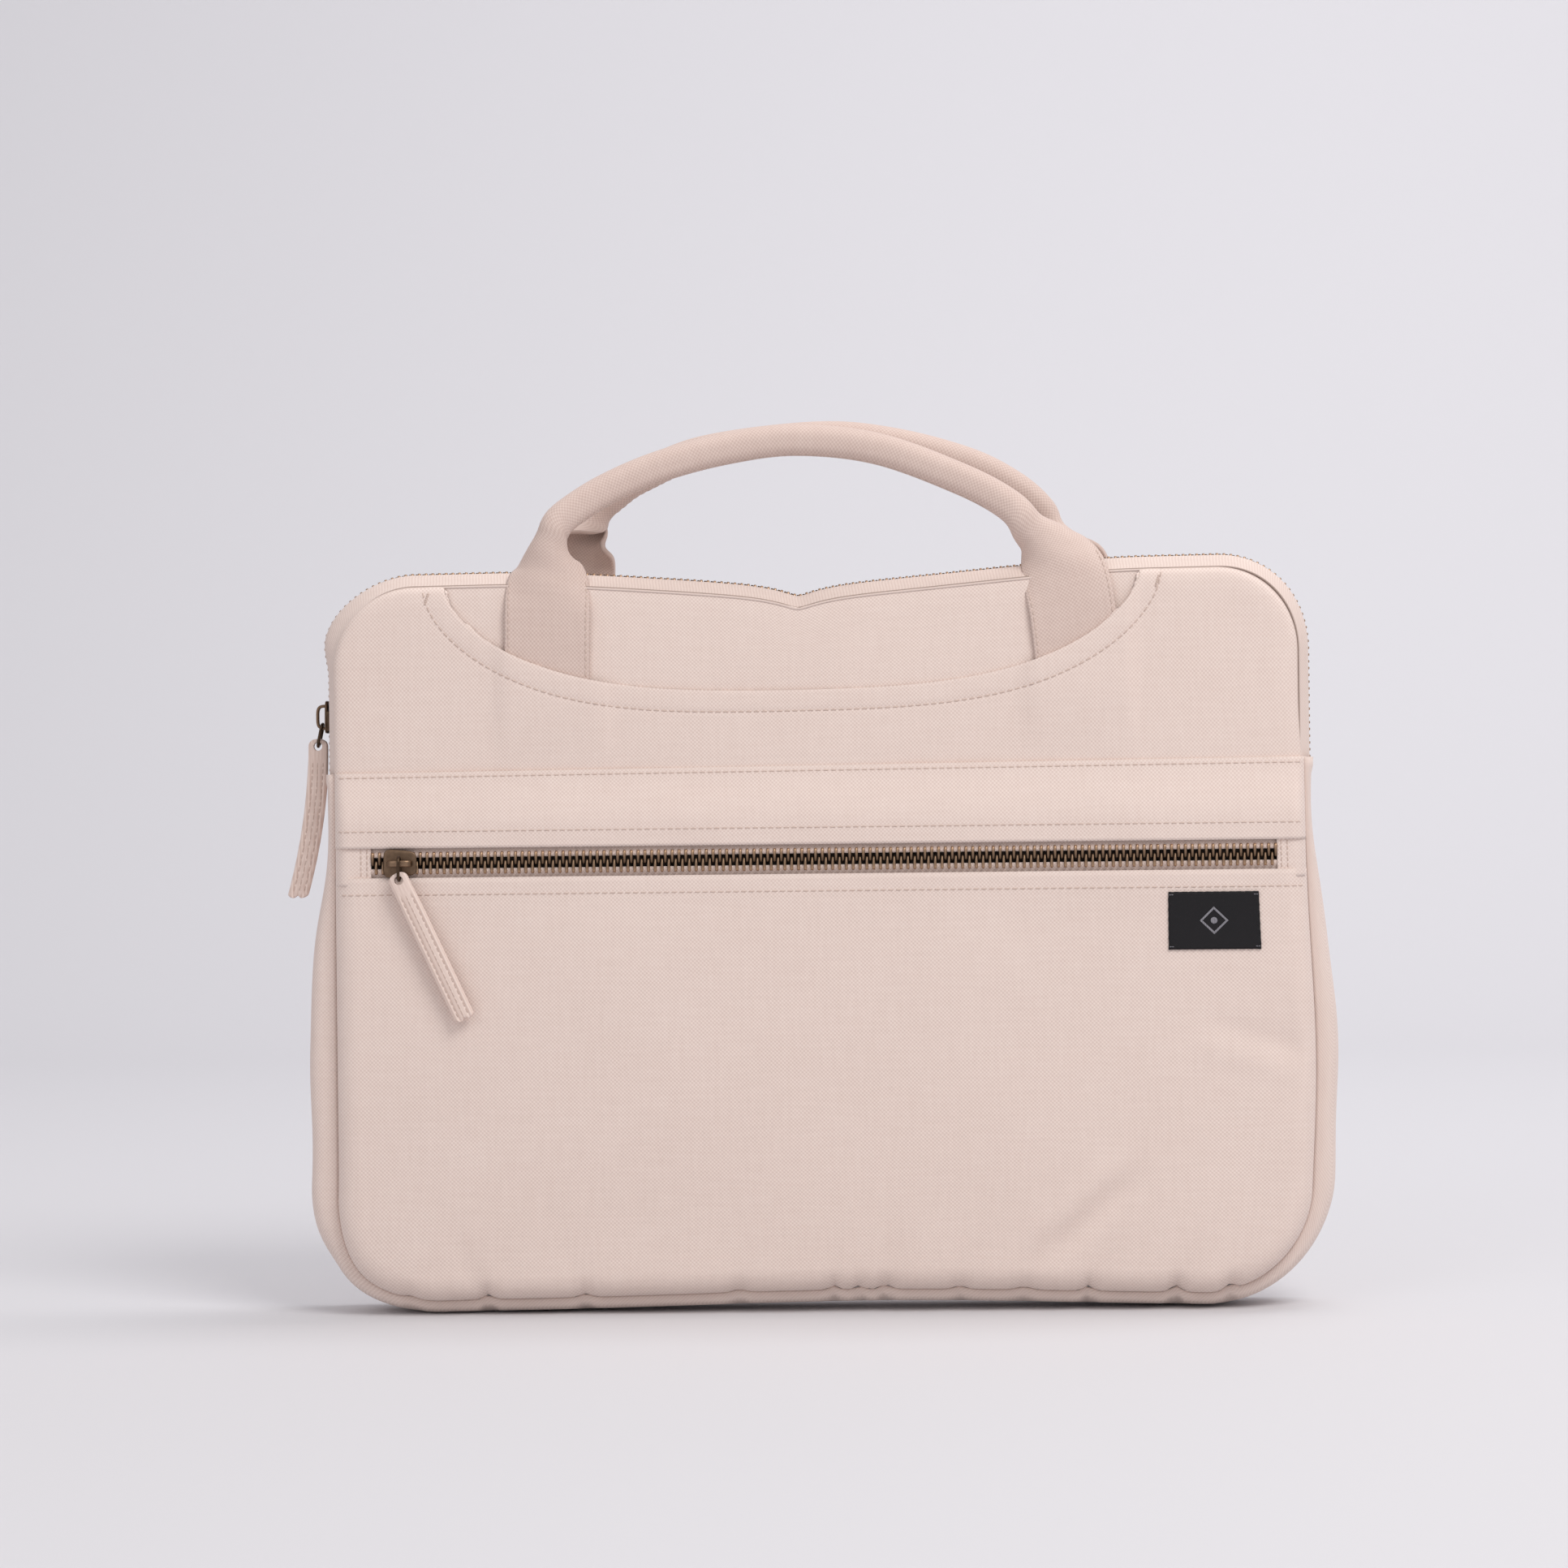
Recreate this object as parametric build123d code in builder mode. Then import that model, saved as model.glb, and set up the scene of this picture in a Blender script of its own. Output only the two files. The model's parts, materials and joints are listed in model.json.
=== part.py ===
from build123d import *

import math
import os

os.makedirs("parts", exist_ok=True)

# A soft canvas laptop bag, millimetres. It stands on its base at z = 0 with its front facing -Y and its
# width along X. The padded body is a back half with a U-shaped gusset, and a front flap above the fold
# that opens forward once the zip over the top is undone.

# Driving dimensions
panel_half_width = 189.0    # to the seam of the front and back panels
panel_bottom = 5.7          # the seam stands above the floor, on the bulging gusset
panel_top = 284.0
low_corner = 41.0
high_corner = 32.0
flap_height = 71.5          # the front flap above the fold, where the gusset stops
fold_gap = 0.3
cavity_half_depth = 13.0
lining = 0.6
foam = 5.0
canvas = 1.0
binding = 2.0
binding_thick = 1.5

gusset_bulge = 9.5          # how far the gusset stands out beside the seam
gusset_waist = 3.5          # the same at its two upper ends
gusset_round = 0.72         # share of the bulge reached half-way from the seam to the flat band
bulge_top = 130.0
waist_height = 12.5         # straight stretch below the fold
base_half_depth = 11.0      # flat band of the gusset that rests on the floor
base_corner = 50.0

tape_bulge = 3.0            # how far the zip tape stands out over the panel's rim
tape_lift = 0.4             # a little more than that over the top
tape = 1.0
tape_flat = 9.0
tooth_pitch = 2.65
tooth_length = 1.2
tooth_thick = 2.8
tooth_gap = 0.55            # from the zip's middle to a tooth
tooth_reach = 4.2
tape_edge = 2.3

yoke_centre = -9.0          # the yoke and handles sit a little left of the middle
yoke_margin = 10.0          # hidden edge of the yoke beside the scoop
yoke_height = 52.0
yoke_overlap = 2.0
facing = 0.9
scoop_height = 41.0
scoop_flat = 60.0
scoop_half_width = 136.0
scoop_rise = 44.0

handle_centre = -4.5
handle_half_span = 100.5
handle_width = 33.0
handle_thick = 2.0
handle_tab_length = 60.0    # cut short by the scoop
hinge_drop = 8.0            # the straps fold this far below the panel's top
handle_clear = 0.3
strap_rise = 16.0           # flat stretch of strap above the panel's top
grip_radius = 6.0
grip_wall = 1.5
grip_gap = 1.0              # from a grip's top to the middle plane
grip_rise = 56.6            # from the panel's top to the middle of the grip's top
grip_foot_rise = 12.0
grip_start = 4.0

pocket_depth = 6.0          # room between the pocket's face and its back wall
pocket_zip_drop = 35.7      # from the fold to the zip's middle
panel_clear = 5.7           # from the zip's middle to the cloth below and above it
band_clear = 5.8
band_lap = 0.1              # between the band's upper edge and the wall behind it
pocket_zip_ends = (15.0, 12.0)  # from the seam to the zip's left and right end
pocket_tape_height = 14.0
pocket_tape_end = 8.0       # from the seam to the tape's end
tape_clear = 0.2
label_size = (34.3, 22.3, 0.6)
label_place = (36.7, 19.7)  # its middle, from the right seam and the pocket's edge

slider_length = 12.9
slider_width = 10.4
slider_nose = 8.4
plate = 1.2
plate_gap = 0.3
post_half_width = 0.35
post_length = 3.0
post_setback = 0.5
post_overlap = 0.1          # how far the post runs into each plate
bridge_hole = 2.7
bridge_wire = 1.4
bridge_half_width = 1.2
bridge_half_length = 5.0
ring_wire = 0.6
ring_radius = 2.5
ring_straight = 4.0
ring_clear = 0.3
tab_length = 63.0
tab_width = 8.0
tab_thick = 3.4
tab_hole = 1.8
tab_eye = 3.0               # from the hole's middle to the tab's upper end
main_slider_rise = 21.9     # above the fold
main_ring_tilt = 12.0
main_tab_tilt = 8.4
pocket_slider_start = 11.5  # from the zip's left end
pocket_tab_tilt = 28.0

# Worked out from the above
half_depth = cavity_half_depth + lining + foam + canvas
inner_inset = canvas + foam
fold_height = panel_top - flap_height
waist_bottom = fold_height - waist_height
yoke_half_width = scoop_half_width + yoke_margin
yoke_bottom = panel_top - yoke_height
scoop_bottom = panel_top - scoop_height
handle_hinge = panel_top - hinge_drop
strap_top = panel_top + strap_rise
core_radius = grip_radius - grip_wall
grip_apex = (grip_radius + grip_gap, panel_top + grip_rise)  # from the middle plane, and height
grip_foot = (half_depth + handle_clear + handle_thick / 2, panel_top + grip_foot_rise)
tape_half_width = panel_half_width + tape_bulge
tape_top = panel_top + tape_bulge + tape_lift
tape_corner = high_corner + tape_bulge
plate_start = tooth_thick / 2 + plate_gap
plate_end = plate_start + plate
bridge_start = plate_end + bridge_hole
bridge_end = bridge_start + bridge_wire
pocket_face = half_depth + pocket_depth
pocket_round = (
    (0.0, 0.0),
    (pocket_depth - 3.6, 0.6),
    (pocket_depth - 0.6, 3.5),
    (pocket_depth + canvas, 7.0),
)
pocket_inside = (
    (0.0, canvas),
    (pocket_depth - 3.6, canvas + 0.6),
    (pocket_depth - 1.2, canvas + 3.2),
    (pocket_depth, 7.0),
)
pocket_zip_height = fold_height - pocket_zip_drop
pocket_panel_top = pocket_zip_height - panel_clear
band_bottom = pocket_zip_height + band_clear
band_bend = pocket_zip_height + pocket_tape_height + tape_clear
pocket_zip_left = pocket_zip_ends[0] - panel_half_width
pocket_zip_right = panel_half_width - pocket_zip_ends[1]
pocket_tape_half_width = panel_half_width - pocket_tape_end
pocket_slider_x = pocket_zip_left + pocket_slider_start
label_centre = (panel_half_width - label_place[0], pocket_panel_top - label_place[1])
main_slider_height = fold_height + main_slider_rise
beyond = 10.0               # how far a cut runs past the piece that it cuts
FRONT = -1
BACK = 1


def save(piece, name):
    piece.part.label = name
    export_step(piece.part, f"parts/{name}.step")


def at_y(y):
    """The upright plane at that y, whose sketches have +X to the right and +Z up."""
    return Plane.XZ.offset(-y)


def layer_plane(side, near, far):
    """Where a layer of the front or back is drawn, to be extruded by far - near."""
    return at_y(max(side * near, side * far))


def panel_outline(inset):
    """A panel's whole outline, drawn that much smaller all round."""
    right = panel_half_width - inset
    low = panel_bottom + inset
    high = panel_top - inset
    with BuildSketch() as outline:
        with BuildLine():
            base = Line((0, low), (right - low_corner + inset, low))
            turn = JernArc(base @ 1, base % 1, low_corner - inset, 90)
            rise = Line(turn @ 1, (right, high - high_corner + inset))
            shoulder = JernArc(rise @ 1, rise % 1, high_corner - inset, 90)
            Line(shoulder @ 1, (0, high))
            mirror(about=Plane.YZ)
        make_face()
    return outline.sketch


def sack_outline(half_width, waist, bottom, corner):
    """An outline that stops at the fold, and narrows towards it."""
    with BuildSketch() as outline:
        with BuildLine():
            base = Line((0, bottom), (half_width - corner, bottom))
            turn = JernArc(base @ 1, base % 1, corner, 90)
            rise = Line(turn @ 1, (half_width, bulge_top))
            lean = Line(rise @ 1, (waist, waist_bottom))
            end = Line(lean @ 1, (waist, fold_height))
            Line(end @ 1, (0, fold_height))
            mirror(about=Plane.YZ)
        make_face()
    return outline.sketch


def arch_outline(half_width, top, corner, start):
    """The outline of the zip from the fold up over the top."""
    with BuildSketch() as outline:
        with BuildLine():
            rise = Line((half_width, start), (half_width, top - corner))
            turn = JernArc(rise @ 1, rise % 1, corner, 90)
            Line(turn @ 1, (0, top))
            mirror(about=Plane.YZ)
            Line((-half_width, start), (half_width, start))
        make_face()
    return outline.sketch


def keep_between(low, high):
    """Cuts the sketch to a band of heights."""
    with Locations((0, (low + high) / 2)):
        Rectangle(4 * panel_half_width, high - low, mode=Mode.INTERSECT)


def scoop():
    """The U-shaped cut-out in a panel, where the yoke shows."""
    with BuildSketch() as cut:
        with BuildLine():
            base = Line((yoke_centre, scoop_bottom), (yoke_centre + scoop_flat, scoop_bottom))
            side = TangentArc(
                base @ 1,
                (yoke_centre + scoop_half_width, scoop_bottom + scoop_rise),
                tangent=base % 1,
            )
            end = Line(side @ 1, (yoke_centre + scoop_half_width, panel_top + beyond))
            Line(end @ 1, (yoke_centre, panel_top + beyond))
            mirror(about=Plane.YZ.offset(yoke_centre))
        make_face()
    return cut.sketch


def yoke_block(grow, mode):
    """The rectangle that the yoke fills, before the panel's outline trims it."""
    low = yoke_bottom - grow
    with Locations((yoke_centre, (low + panel_top) / 2)):
        Rectangle(2 * (yoke_half_width + grow), panel_top - low, mode=mode)


def flat_layer(side, near, far, inset, low, high):
    """A plain layer with the panel's outline, between two heights."""
    with BuildPart() as layer:
        with BuildSketch(layer_plane(side, near, far)):
            add(panel_outline(inset))
            keep_between(low, high)
        extrude(amount=far - near)
    return layer


def scooped_panel(side, low):
    """The outer canvas: it laps over the yoke and is cut out in a scoop."""
    skin = half_depth - canvas
    with BuildPart() as panel:
        with BuildSketch(layer_plane(side, skin, half_depth)):
            add(panel_outline(canvas))
            yoke_block(0, Mode.SUBTRACT)
            keep_between(low, panel_top)
        extrude(amount=canvas)
        with BuildSketch(layer_plane(side, half_depth, half_depth + facing)):
            add(panel_outline(canvas))
            yoke_block(yoke_overlap, Mode.INTERSECT)
            add(scoop(), mode=Mode.SUBTRACT)
        extrude(amount=facing)
    return panel


def yoke(side):
    """The layer that shows inside the scoop and carries the handle's ends."""
    with BuildPart() as piece:
        with BuildSketch(layer_plane(side, half_depth - canvas, half_depth)):
            add(panel_outline(canvas))
            yoke_block(0, Mode.INTERSECT)
        extrude(amount=canvas)
    return piece


def inner_binding(side, low, high, inset):
    """The tape that covers the raw seam along the compartment's edge."""
    with BuildPart() as strip:
        with BuildSketch(layer_plane(side, cavity_half_depth - binding_thick, cavity_half_depth)):
            add(panel_outline(inset))
            add(panel_outline(inset + binding), mode=Mode.SUBTRACT)
            keep_between(low, high)
        extrude(amount=binding_thick)
    return strip


def gusset_outline(share, inset):
    """One cross-cut of the gusset: share 0 at the seam, 1 at the full bulge."""
    return sack_outline(
        panel_half_width + gusset_bulge * share - inset,
        panel_half_width + gusset_waist * share - inset,
        panel_bottom * (1 - share) + inset,
        low_corner + (base_corner - low_corner) * share - inset,
    )


def gusset_body(inset):
    """The bulging sack that the gusset's layers are cut from."""
    seam = half_depth - canvas
    middle = (seam + base_half_depth) / 2
    stations = (
        (-half_depth, 0),
        (-seam, 0),
        (-middle, gusset_round),
        (-base_half_depth, 1),
        (base_half_depth, 1),
        (middle, gusset_round),
        (seam, 0),
        (half_depth, 0),
    )
    with BuildPart() as body:
        for ends in zip(stations, stations[1:]):
            for depth, share in ends:
                with BuildSketch(at_y(depth)):
                    add(gusset_outline(share, inset))
            loft(ruled=True)
    return body.part


def inner_sack(inset, reach):
    """The straight-sided space inside the gusset's layers."""
    right = panel_half_width - inset
    with BuildPart() as sack:
        with BuildSketch(at_y(reach)):
            add(sack_outline(right, right, panel_bottom + inset, low_corner - inset))
        extrude(amount=2 * reach)
    return sack.part


def arch_tape(side, start):
    """One half of the long zip's tape, from the panel's rim to the teeth."""
    with BuildPart() as strip:
        for inset, mode in ((0, Mode.ADD), (tape, Mode.SUBTRACT)):
            sections = (
                (half_depth, panel_half_width, panel_top, high_corner),
                (half_depth - canvas, panel_half_width, panel_top, high_corner),
                (tape_flat, tape_half_width, tape_top, tape_corner),
                (tape_edge, tape_half_width, tape_top, tape_corner),
            )
            for near, far in zip(sections, sections[1:]):
                for depth, half_width, top, corner in (near, far):
                    with BuildSketch(at_y(side * depth)):
                        add(arch_outline(half_width - inset, top - inset, corner - inset, start))
                loft(ruled=True, mode=mode)
    return strip


def tooth_row(planes):
    """Zip teeth, each one clasping the tape's edge; a plane's +Y points along the tape."""
    half = tooth_thick / 2
    with BuildPart() as tooth:
        with BuildSketch():
            with BuildLine():
                Polyline(
                    (-half, tooth_gap),
                    (half, tooth_gap),
                    (half, tooth_reach),
                    (tape / 2, tooth_reach),
                    (tape / 2, tape_edge),
                    (-tape / 2, tape_edge),
                    (-tape / 2, tooth_reach),
                    (-half, tooth_reach),
                    close=True,
                )
            make_face()
        extrude(amount=tooth_length / 2, both=True)
    with BuildPart() as row:
        with Locations(*planes):
            add(tooth.part, clean=False)
    return row


def arch_teeth(side):
    """The teeth of the long zip on one side, half a pitch ahead on the other."""
    middle = tape / 2
    with BuildLine(Plane.XZ) as path:
        left = tape_half_width - middle
        high = tape_top - middle
        corner = tape_corner - middle
        rise = Line((-left, fold_height + 3), (-left, high - corner))
        turn = JernArc(rise @ 1, rise % 1, corner, -90)
        over = Line(turn @ 1, (left - corner, high))
        back = JernArc(over @ 1, over % 1, corner, -90)
        Line(back @ 1, (left, fold_height + 3))
    wire = path.wire()
    shift = tooth_pitch * (0.25 if side == FRONT else 0.75)
    count = int((wire.length - shift) / tooth_pitch)
    planes = []
    for i in range(count):
        along = (shift + i * tooth_pitch) / wire.length
        tangent = wire.tangent_at(along)
        outward = Vector(0, side, 0).cross(tangent)
        planes.append(Plane(origin=wire.position_at(along), x_dir=outward, z_dir=tangent))
    return tooth_row(planes)


def pocket_teeth(up):
    """The teeth above (up = 1) or below (up = -1) the pocket zip's middle line."""
    shift = tooth_pitch * (0.25 if up > 0 else 0.75)
    count = int((pocket_zip_right - pocket_zip_left - shift) / tooth_pitch)
    depth = tape / 2 - pocket_face
    planes = []
    for i in range(count):
        place = (pocket_zip_left + shift + i * tooth_pitch, depth, pocket_zip_height)
        planes.append(Plane(origin=place, x_dir=(0, -up, 0), z_dir=(1, 0, 0)))
    return tooth_row(planes)


def pocket_block(profile, fold_depth):
    """The pocket's shallow tray as a solid, sloping back to the fold at its top."""
    face = half_depth + profile[-1][0]
    with BuildPart() as block:
        for ends in zip(profile, profile[1:]):
            for depth, inset in ends:
                side = panel_half_width - inset
                with BuildSketch(at_y(-half_depth - depth)):
                    add(sack_outline(side, side, panel_bottom + inset, low_corner - inset))
            loft(ruled=True)
        with BuildSketch(Plane.YZ):
            with BuildLine():
                Polyline(
                    (-face - beyond, band_bend),
                    (-face, band_bend),
                    (-half_depth - fold_depth, fold_height),
                    (-face - beyond, fold_height),
                    close=True,
                )
            make_face()
        extrude(amount=panel_half_width, both=True, mode=Mode.SUBTRACT)
    return block.part


def pocket_shell(low, high, left=-panel_half_width, right=panel_half_width):
    """The canvas of the pocket's tray, between two heights and two sides."""
    with BuildPart() as shell:
        add(pocket_block(pocket_round, canvas + band_lap))
        add(pocket_block(pocket_inside, band_lap), mode=Mode.SUBTRACT)
        with Locations(((left + right) / 2, -half_depth, (low + high) / 2)):
            Box(right - left, 4 * pocket_depth, high - low, mode=Mode.INTERSECT)
    return shell


def handle_tab(side, x):
    """The flat end of a handle's strap, sewn down on the yoke."""
    with BuildPart() as tab:
        with BuildSketch(layer_plane(side, half_depth, half_depth + handle_thick)):
            with Locations((x, handle_hinge - handle_tab_length / 2)):
                Rectangle(handle_width, handle_tab_length)
            add(scoop(), mode=Mode.INTERSECT)
        extrude(amount=handle_thick)
    return tab


def grip_path(side):
    """The arch of a handle, in the plane that leans in over the bag's top."""
    inward = grip_foot[0] - grip_apex[0]
    upward = grip_apex[1] - grip_foot[1]
    lean = math.atan2(inward, upward)
    rise = math.hypot(inward, upward)
    foot = (handle_centre, side * grip_foot[0], grip_foot[1])
    plane = Plane(
        origin=foot,
        x_dir=(1, 0, 0),
        z_dir=(0, -math.cos(lean), -side * math.sin(lean)),
    )
    with BuildLine(plane) as path:
        ThreePointArc(
            (-handle_half_span, grip_start), (0, rise), (handle_half_span, grip_start)
        )
    return path.wire()


def handle_strap(side):
    """The strap of a handle: two flat ends, rolled into a tube between them."""
    path = grip_path(side)
    near = half_depth + handle_clear
    with BuildPart() as strap:
        with BuildSketch(layer_plane(side, near, near + handle_thick)):
            low = handle_hinge + handle_clear
            with Locations((handle_centre, (low + strap_top) / 2)):
                with GridLocations(2 * handle_half_span, 0, 2, 1):
                    Rectangle(handle_width, strap_top - low)
        extrude(amount=handle_thick)
        with BuildSketch(Plane(origin=path @ 0, z_dir=path % 0)):
            Circle(grip_radius)
        sweep(path=path)
        with BuildSketch(Plane(origin=path @ 0, z_dir=path % 0)):
            Circle(core_radius)
        sweep(path=path, mode=Mode.SUBTRACT)
    return strap


def handle_core(side):
    """The soft cord inside a rolled grip."""
    path = grip_path(side)
    with BuildPart() as core:
        with BuildSketch(Plane(origin=path @ 0, z_dir=path % 0)):
            Circle(core_radius)
        sweep(path=path)
    return core


def slider_plane(centre, closed_way, outward):
    """A zip slider's own frame: +X towards the closed chain, +Z out of the bag."""
    return Plane(origin=centre, x_dir=closed_way, z_dir=outward)


def slider_body(plane):
    """Two plates joined by a post that parts the chains."""
    half = slider_length / 2
    with BuildPart() as body:
        with BuildSketch(plane.offset(plate_start), plane.offset(-plate_end)):
            with BuildLine():
                Polyline(
                    (-half, -slider_width / 2),
                    (half, -slider_nose / 2),
                    (half, slider_nose / 2),
                    (-half, slider_width / 2),
                    close=True,
                )
            make_face()
            fillet(vertices(), 2.0)
        extrude(amount=plate)
        with BuildSketch(plane.offset(-plate_start - post_overlap)):
            with Locations((-half + post_setback + post_length / 2, 0)):
                Rectangle(post_length, 2 * post_half_width)
        extrude(amount=2 * (plate_start + post_overlap))
    return body


def slider_bridge(plane):
    """The loop on the slider that the pull's ring hangs from."""
    side_plane = Plane(origin=plane.origin, x_dir=plane.x_dir, z_dir=-plane.y_dir)
    with BuildPart() as bridge:
        with BuildSketch(side_plane):
            with Locations((0, (plate_end + bridge_end) / 2)):
                Rectangle(2 * bridge_half_length, bridge_end - plate_end)
            fillet(vertices().group_by(lambda v: v.Y)[-1], 1.6)
            with Locations((0, plate_end + bridge_hole / 2)):
                Rectangle(
                    2 * (bridge_half_length - bridge_wire), bridge_hole, mode=Mode.SUBTRACT
                )
        extrude(amount=bridge_half_width, both=True)
    return bridge


def pull_ring(plane):
    """A wire ring around the plane's origin at the middle of its top arc, hanging along -Y."""
    with BuildPart() as ring:
        with BuildLine(plane) as path:
            down = Line((-ring_radius, 0), (-ring_radius, -ring_straight))
            low = JernArc(down @ 1, down % 1, ring_radius, 180)
            up = Line(low @ 1, (ring_radius, 0))
            JernArc(up @ 1, up % 1, ring_radius, 180)
        with BuildSketch(Plane(origin=path.wire() @ 0, z_dir=path.wire() % 0)):
            Circle(ring_wire)
        sweep(path=path.wire())
    return ring


def pull_tab(plane):
    """A fabric pull: a flat strip that hangs along -Y from an eye at the plane's origin."""
    straight = tab_length - tab_width
    with BuildPart() as tab:
        with BuildSketch(plane):
            with Locations((0, tab_eye - tab_length / 2)):
                SlotCenterToCenter(straight, tab_width, rotation=90)
            Circle(tab_hole, mode=Mode.SUBTRACT)
        extrude(amount=tab_thick / 2, both=True)
    return tab


def leaning(degrees):
    """Up and right for a piece that hangs with its lower end leaning towards -X."""
    angle = math.radians(degrees)
    return (
        Vector(math.sin(angle), 0, math.cos(angle)),
        Vector(math.cos(angle), 0, -math.sin(angle)),
    )


# Back half of the body, with the gusset
save(scooped_panel(BACK, panel_bottom), "back_panel")
save(yoke(BACK), "back_yoke")
foam_near = half_depth - canvas - foam
save(flat_layer(BACK, foam_near, half_depth - canvas, inner_inset, 0, panel_top), "back_foam")
save(flat_layer(BACK, foam_near - lining, foam_near, inner_inset, 0, panel_top), "back_lining")

with BuildPart() as gusset_panel:
    add(gusset_body(0))
    add(gusset_body(canvas), mode=Mode.SUBTRACT)
save(gusset_panel, "gusset_panel")

with BuildPart() as gusset_foam:
    add(gusset_body(canvas))
    add(inner_sack(inner_inset, half_depth), mode=Mode.SUBTRACT)
    Box(4 * panel_half_width, 2 * (half_depth - canvas), 2 * panel_top, mode=Mode.INTERSECT)
save(gusset_foam, "gusset_foam")

with BuildPart() as gusset_lining:
    add(inner_sack(inner_inset, cavity_half_depth))
    add(inner_sack(inner_inset + lining, cavity_half_depth), mode=Mode.SUBTRACT)
save(gusset_lining, "gusset_lining")

bound = inner_inset + lining
save(inner_binding(BACK, panel_bottom, fold_height, bound), "back_binding")
save(inner_binding(FRONT, panel_bottom, fold_height, bound), "front_binding_lower")

# Front wall below the fold
save(flat_layer(FRONT, half_depth - canvas, half_depth, canvas, 0, fold_height), "pocket_back_wall")
save(flat_layer(FRONT, foam_near, half_depth - canvas, inner_inset, 0, fold_height), "front_foam_lower")
save(flat_layer(FRONT, foam_near - lining, foam_near, inner_inset, 0, fold_height), "front_lining_lower")

# Pocket on the front
save(pocket_shell(0, pocket_panel_top), "pocket_front_panel")
save(pocket_shell(band_bottom, fold_height), "pocket_band")
save(pocket_shell(pocket_panel_top, band_bottom, right=pocket_zip_left), "pocket_end_tab_left")
save(pocket_shell(pocket_panel_top, band_bottom, left=pocket_zip_right), "pocket_end_tab_right")

for name, up in (("upper", 1), ("lower", -1)):
    with BuildPart() as pocket_tape:
        near = pocket_zip_height + up * tape_edge
        with BuildSketch(layer_plane(FRONT, pocket_face - tape, pocket_face)):
            with Locations((0, near + up * (pocket_tape_height - tape_edge) / 2)):
                Rectangle(2 * pocket_tape_half_width, pocket_tape_height - tape_edge)
        extrude(amount=tape)
    save(pocket_tape, f"pocket_zip_tape_{name}")
    save(pocket_teeth(up), f"pocket_zip_teeth_{name}")

with BuildPart() as woven_label:
    near = pocket_face + canvas
    with BuildSketch(layer_plane(FRONT, near, near + label_size[2])):
        with Locations(label_centre):
            Rectangle(label_size[0], label_size[1])
    extrude(amount=label_size[2])
save(woven_label, "woven_label")

# Front flap above the fold
flap_bottom = fold_height + fold_gap
save(scooped_panel(FRONT, flap_bottom), "front_upper_panel")
save(yoke(FRONT), "front_yoke")
save(
    flat_layer(FRONT, foam_near, half_depth - canvas, inner_inset, flap_bottom, panel_top),
    "front_foam_upper",
)
save(
    flat_layer(FRONT, foam_near - lining, foam_near, inner_inset, flap_bottom, panel_top),
    "front_lining_upper",
)
save(inner_binding(FRONT, flap_bottom, panel_top, inner_inset), "front_binding_upper")

# Long zip over the top
save(arch_tape(FRONT, flap_bottom), "main_zip_tape_front")
save(arch_tape(BACK, fold_height), "main_zip_tape_back")
save(arch_teeth(FRONT), "main_zip_teeth_front")
save(arch_teeth(BACK), "main_zip_teeth_back")

# Handles
for side, face in ((FRONT, "front"), (BACK, "back")):
    for end, hand in ((-1, "left"), (1, "right")):
        save(handle_tab(side, handle_centre + end * handle_half_span), f"{face}_handle_tab_{hand}")
    save(handle_strap(side), f"{face}_handle_strap")
    save(handle_core(side), f"{face}_handle_core")

# Slider and pull of the long zip, on the bag's left side
tape_middle = tape_half_width - tape / 2
main_plane = slider_plane((-tape_middle, 0, main_slider_height), (0, 0, 1), (-1, 0, 0))
save(slider_body(main_plane), "main_slider_body")
save(slider_bridge(main_plane), "main_slider_bridge")
ring_top = (
    -tape_middle - plate_end - bridge_hole / 2,
    0,
    main_slider_height - bridge_half_length + bridge_wire + ring_wire + ring_clear,
)
up, across = leaning(main_ring_tilt)
ring_middle = Vector(ring_top) - up * ring_radius
save(pull_ring(Plane(origin=ring_middle, x_dir=(0, 1, 0), z_dir=across)), "main_pull_ring")
ring_low = ring_middle - up * (ring_straight + ring_radius)
up, across = leaning(main_tab_tilt)
save(pull_tab(Plane(origin=ring_low, x_dir=across, z_dir=(0, -1, 0))), "main_pull_tab")

# Slider and pull of the pocket zip
pocket_plane = slider_plane(
    (pocket_slider_x, -(pocket_face - tape / 2), pocket_zip_height), (1, 0, 0), (0, -1, 0)
)
save(slider_body(pocket_plane), "pocket_slider_body")
save(slider_bridge(pocket_plane), "pocket_slider_bridge")
bar = pocket_plane.origin + pocket_plane.z_dir * (bridge_start + bridge_wire / 2)
save(pull_ring(Plane(origin=bar, x_dir=(0, 1, 0), z_dir=(1, 0, 0))), "pocket_pull_ring")
pocket_ring_low = bar - Vector(0, 0, ring_straight + ring_radius)
up, across = leaning(-pocket_tab_tilt)
save(pull_tab(Plane(origin=pocket_ring_low, x_dir=across, z_dir=(0, -1, 0))), "pocket_pull_tab")

print("long zip pull hangs from", ring_top, "and its tab from", tuple(ring_low))
print("pocket pull hangs from", tuple(bar), "and its tab from", tuple(pocket_ring_low))
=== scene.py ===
import json
import math
import bmesh
import bpy
import numpy as np
from mathutils import Matrix, Vector


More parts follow.
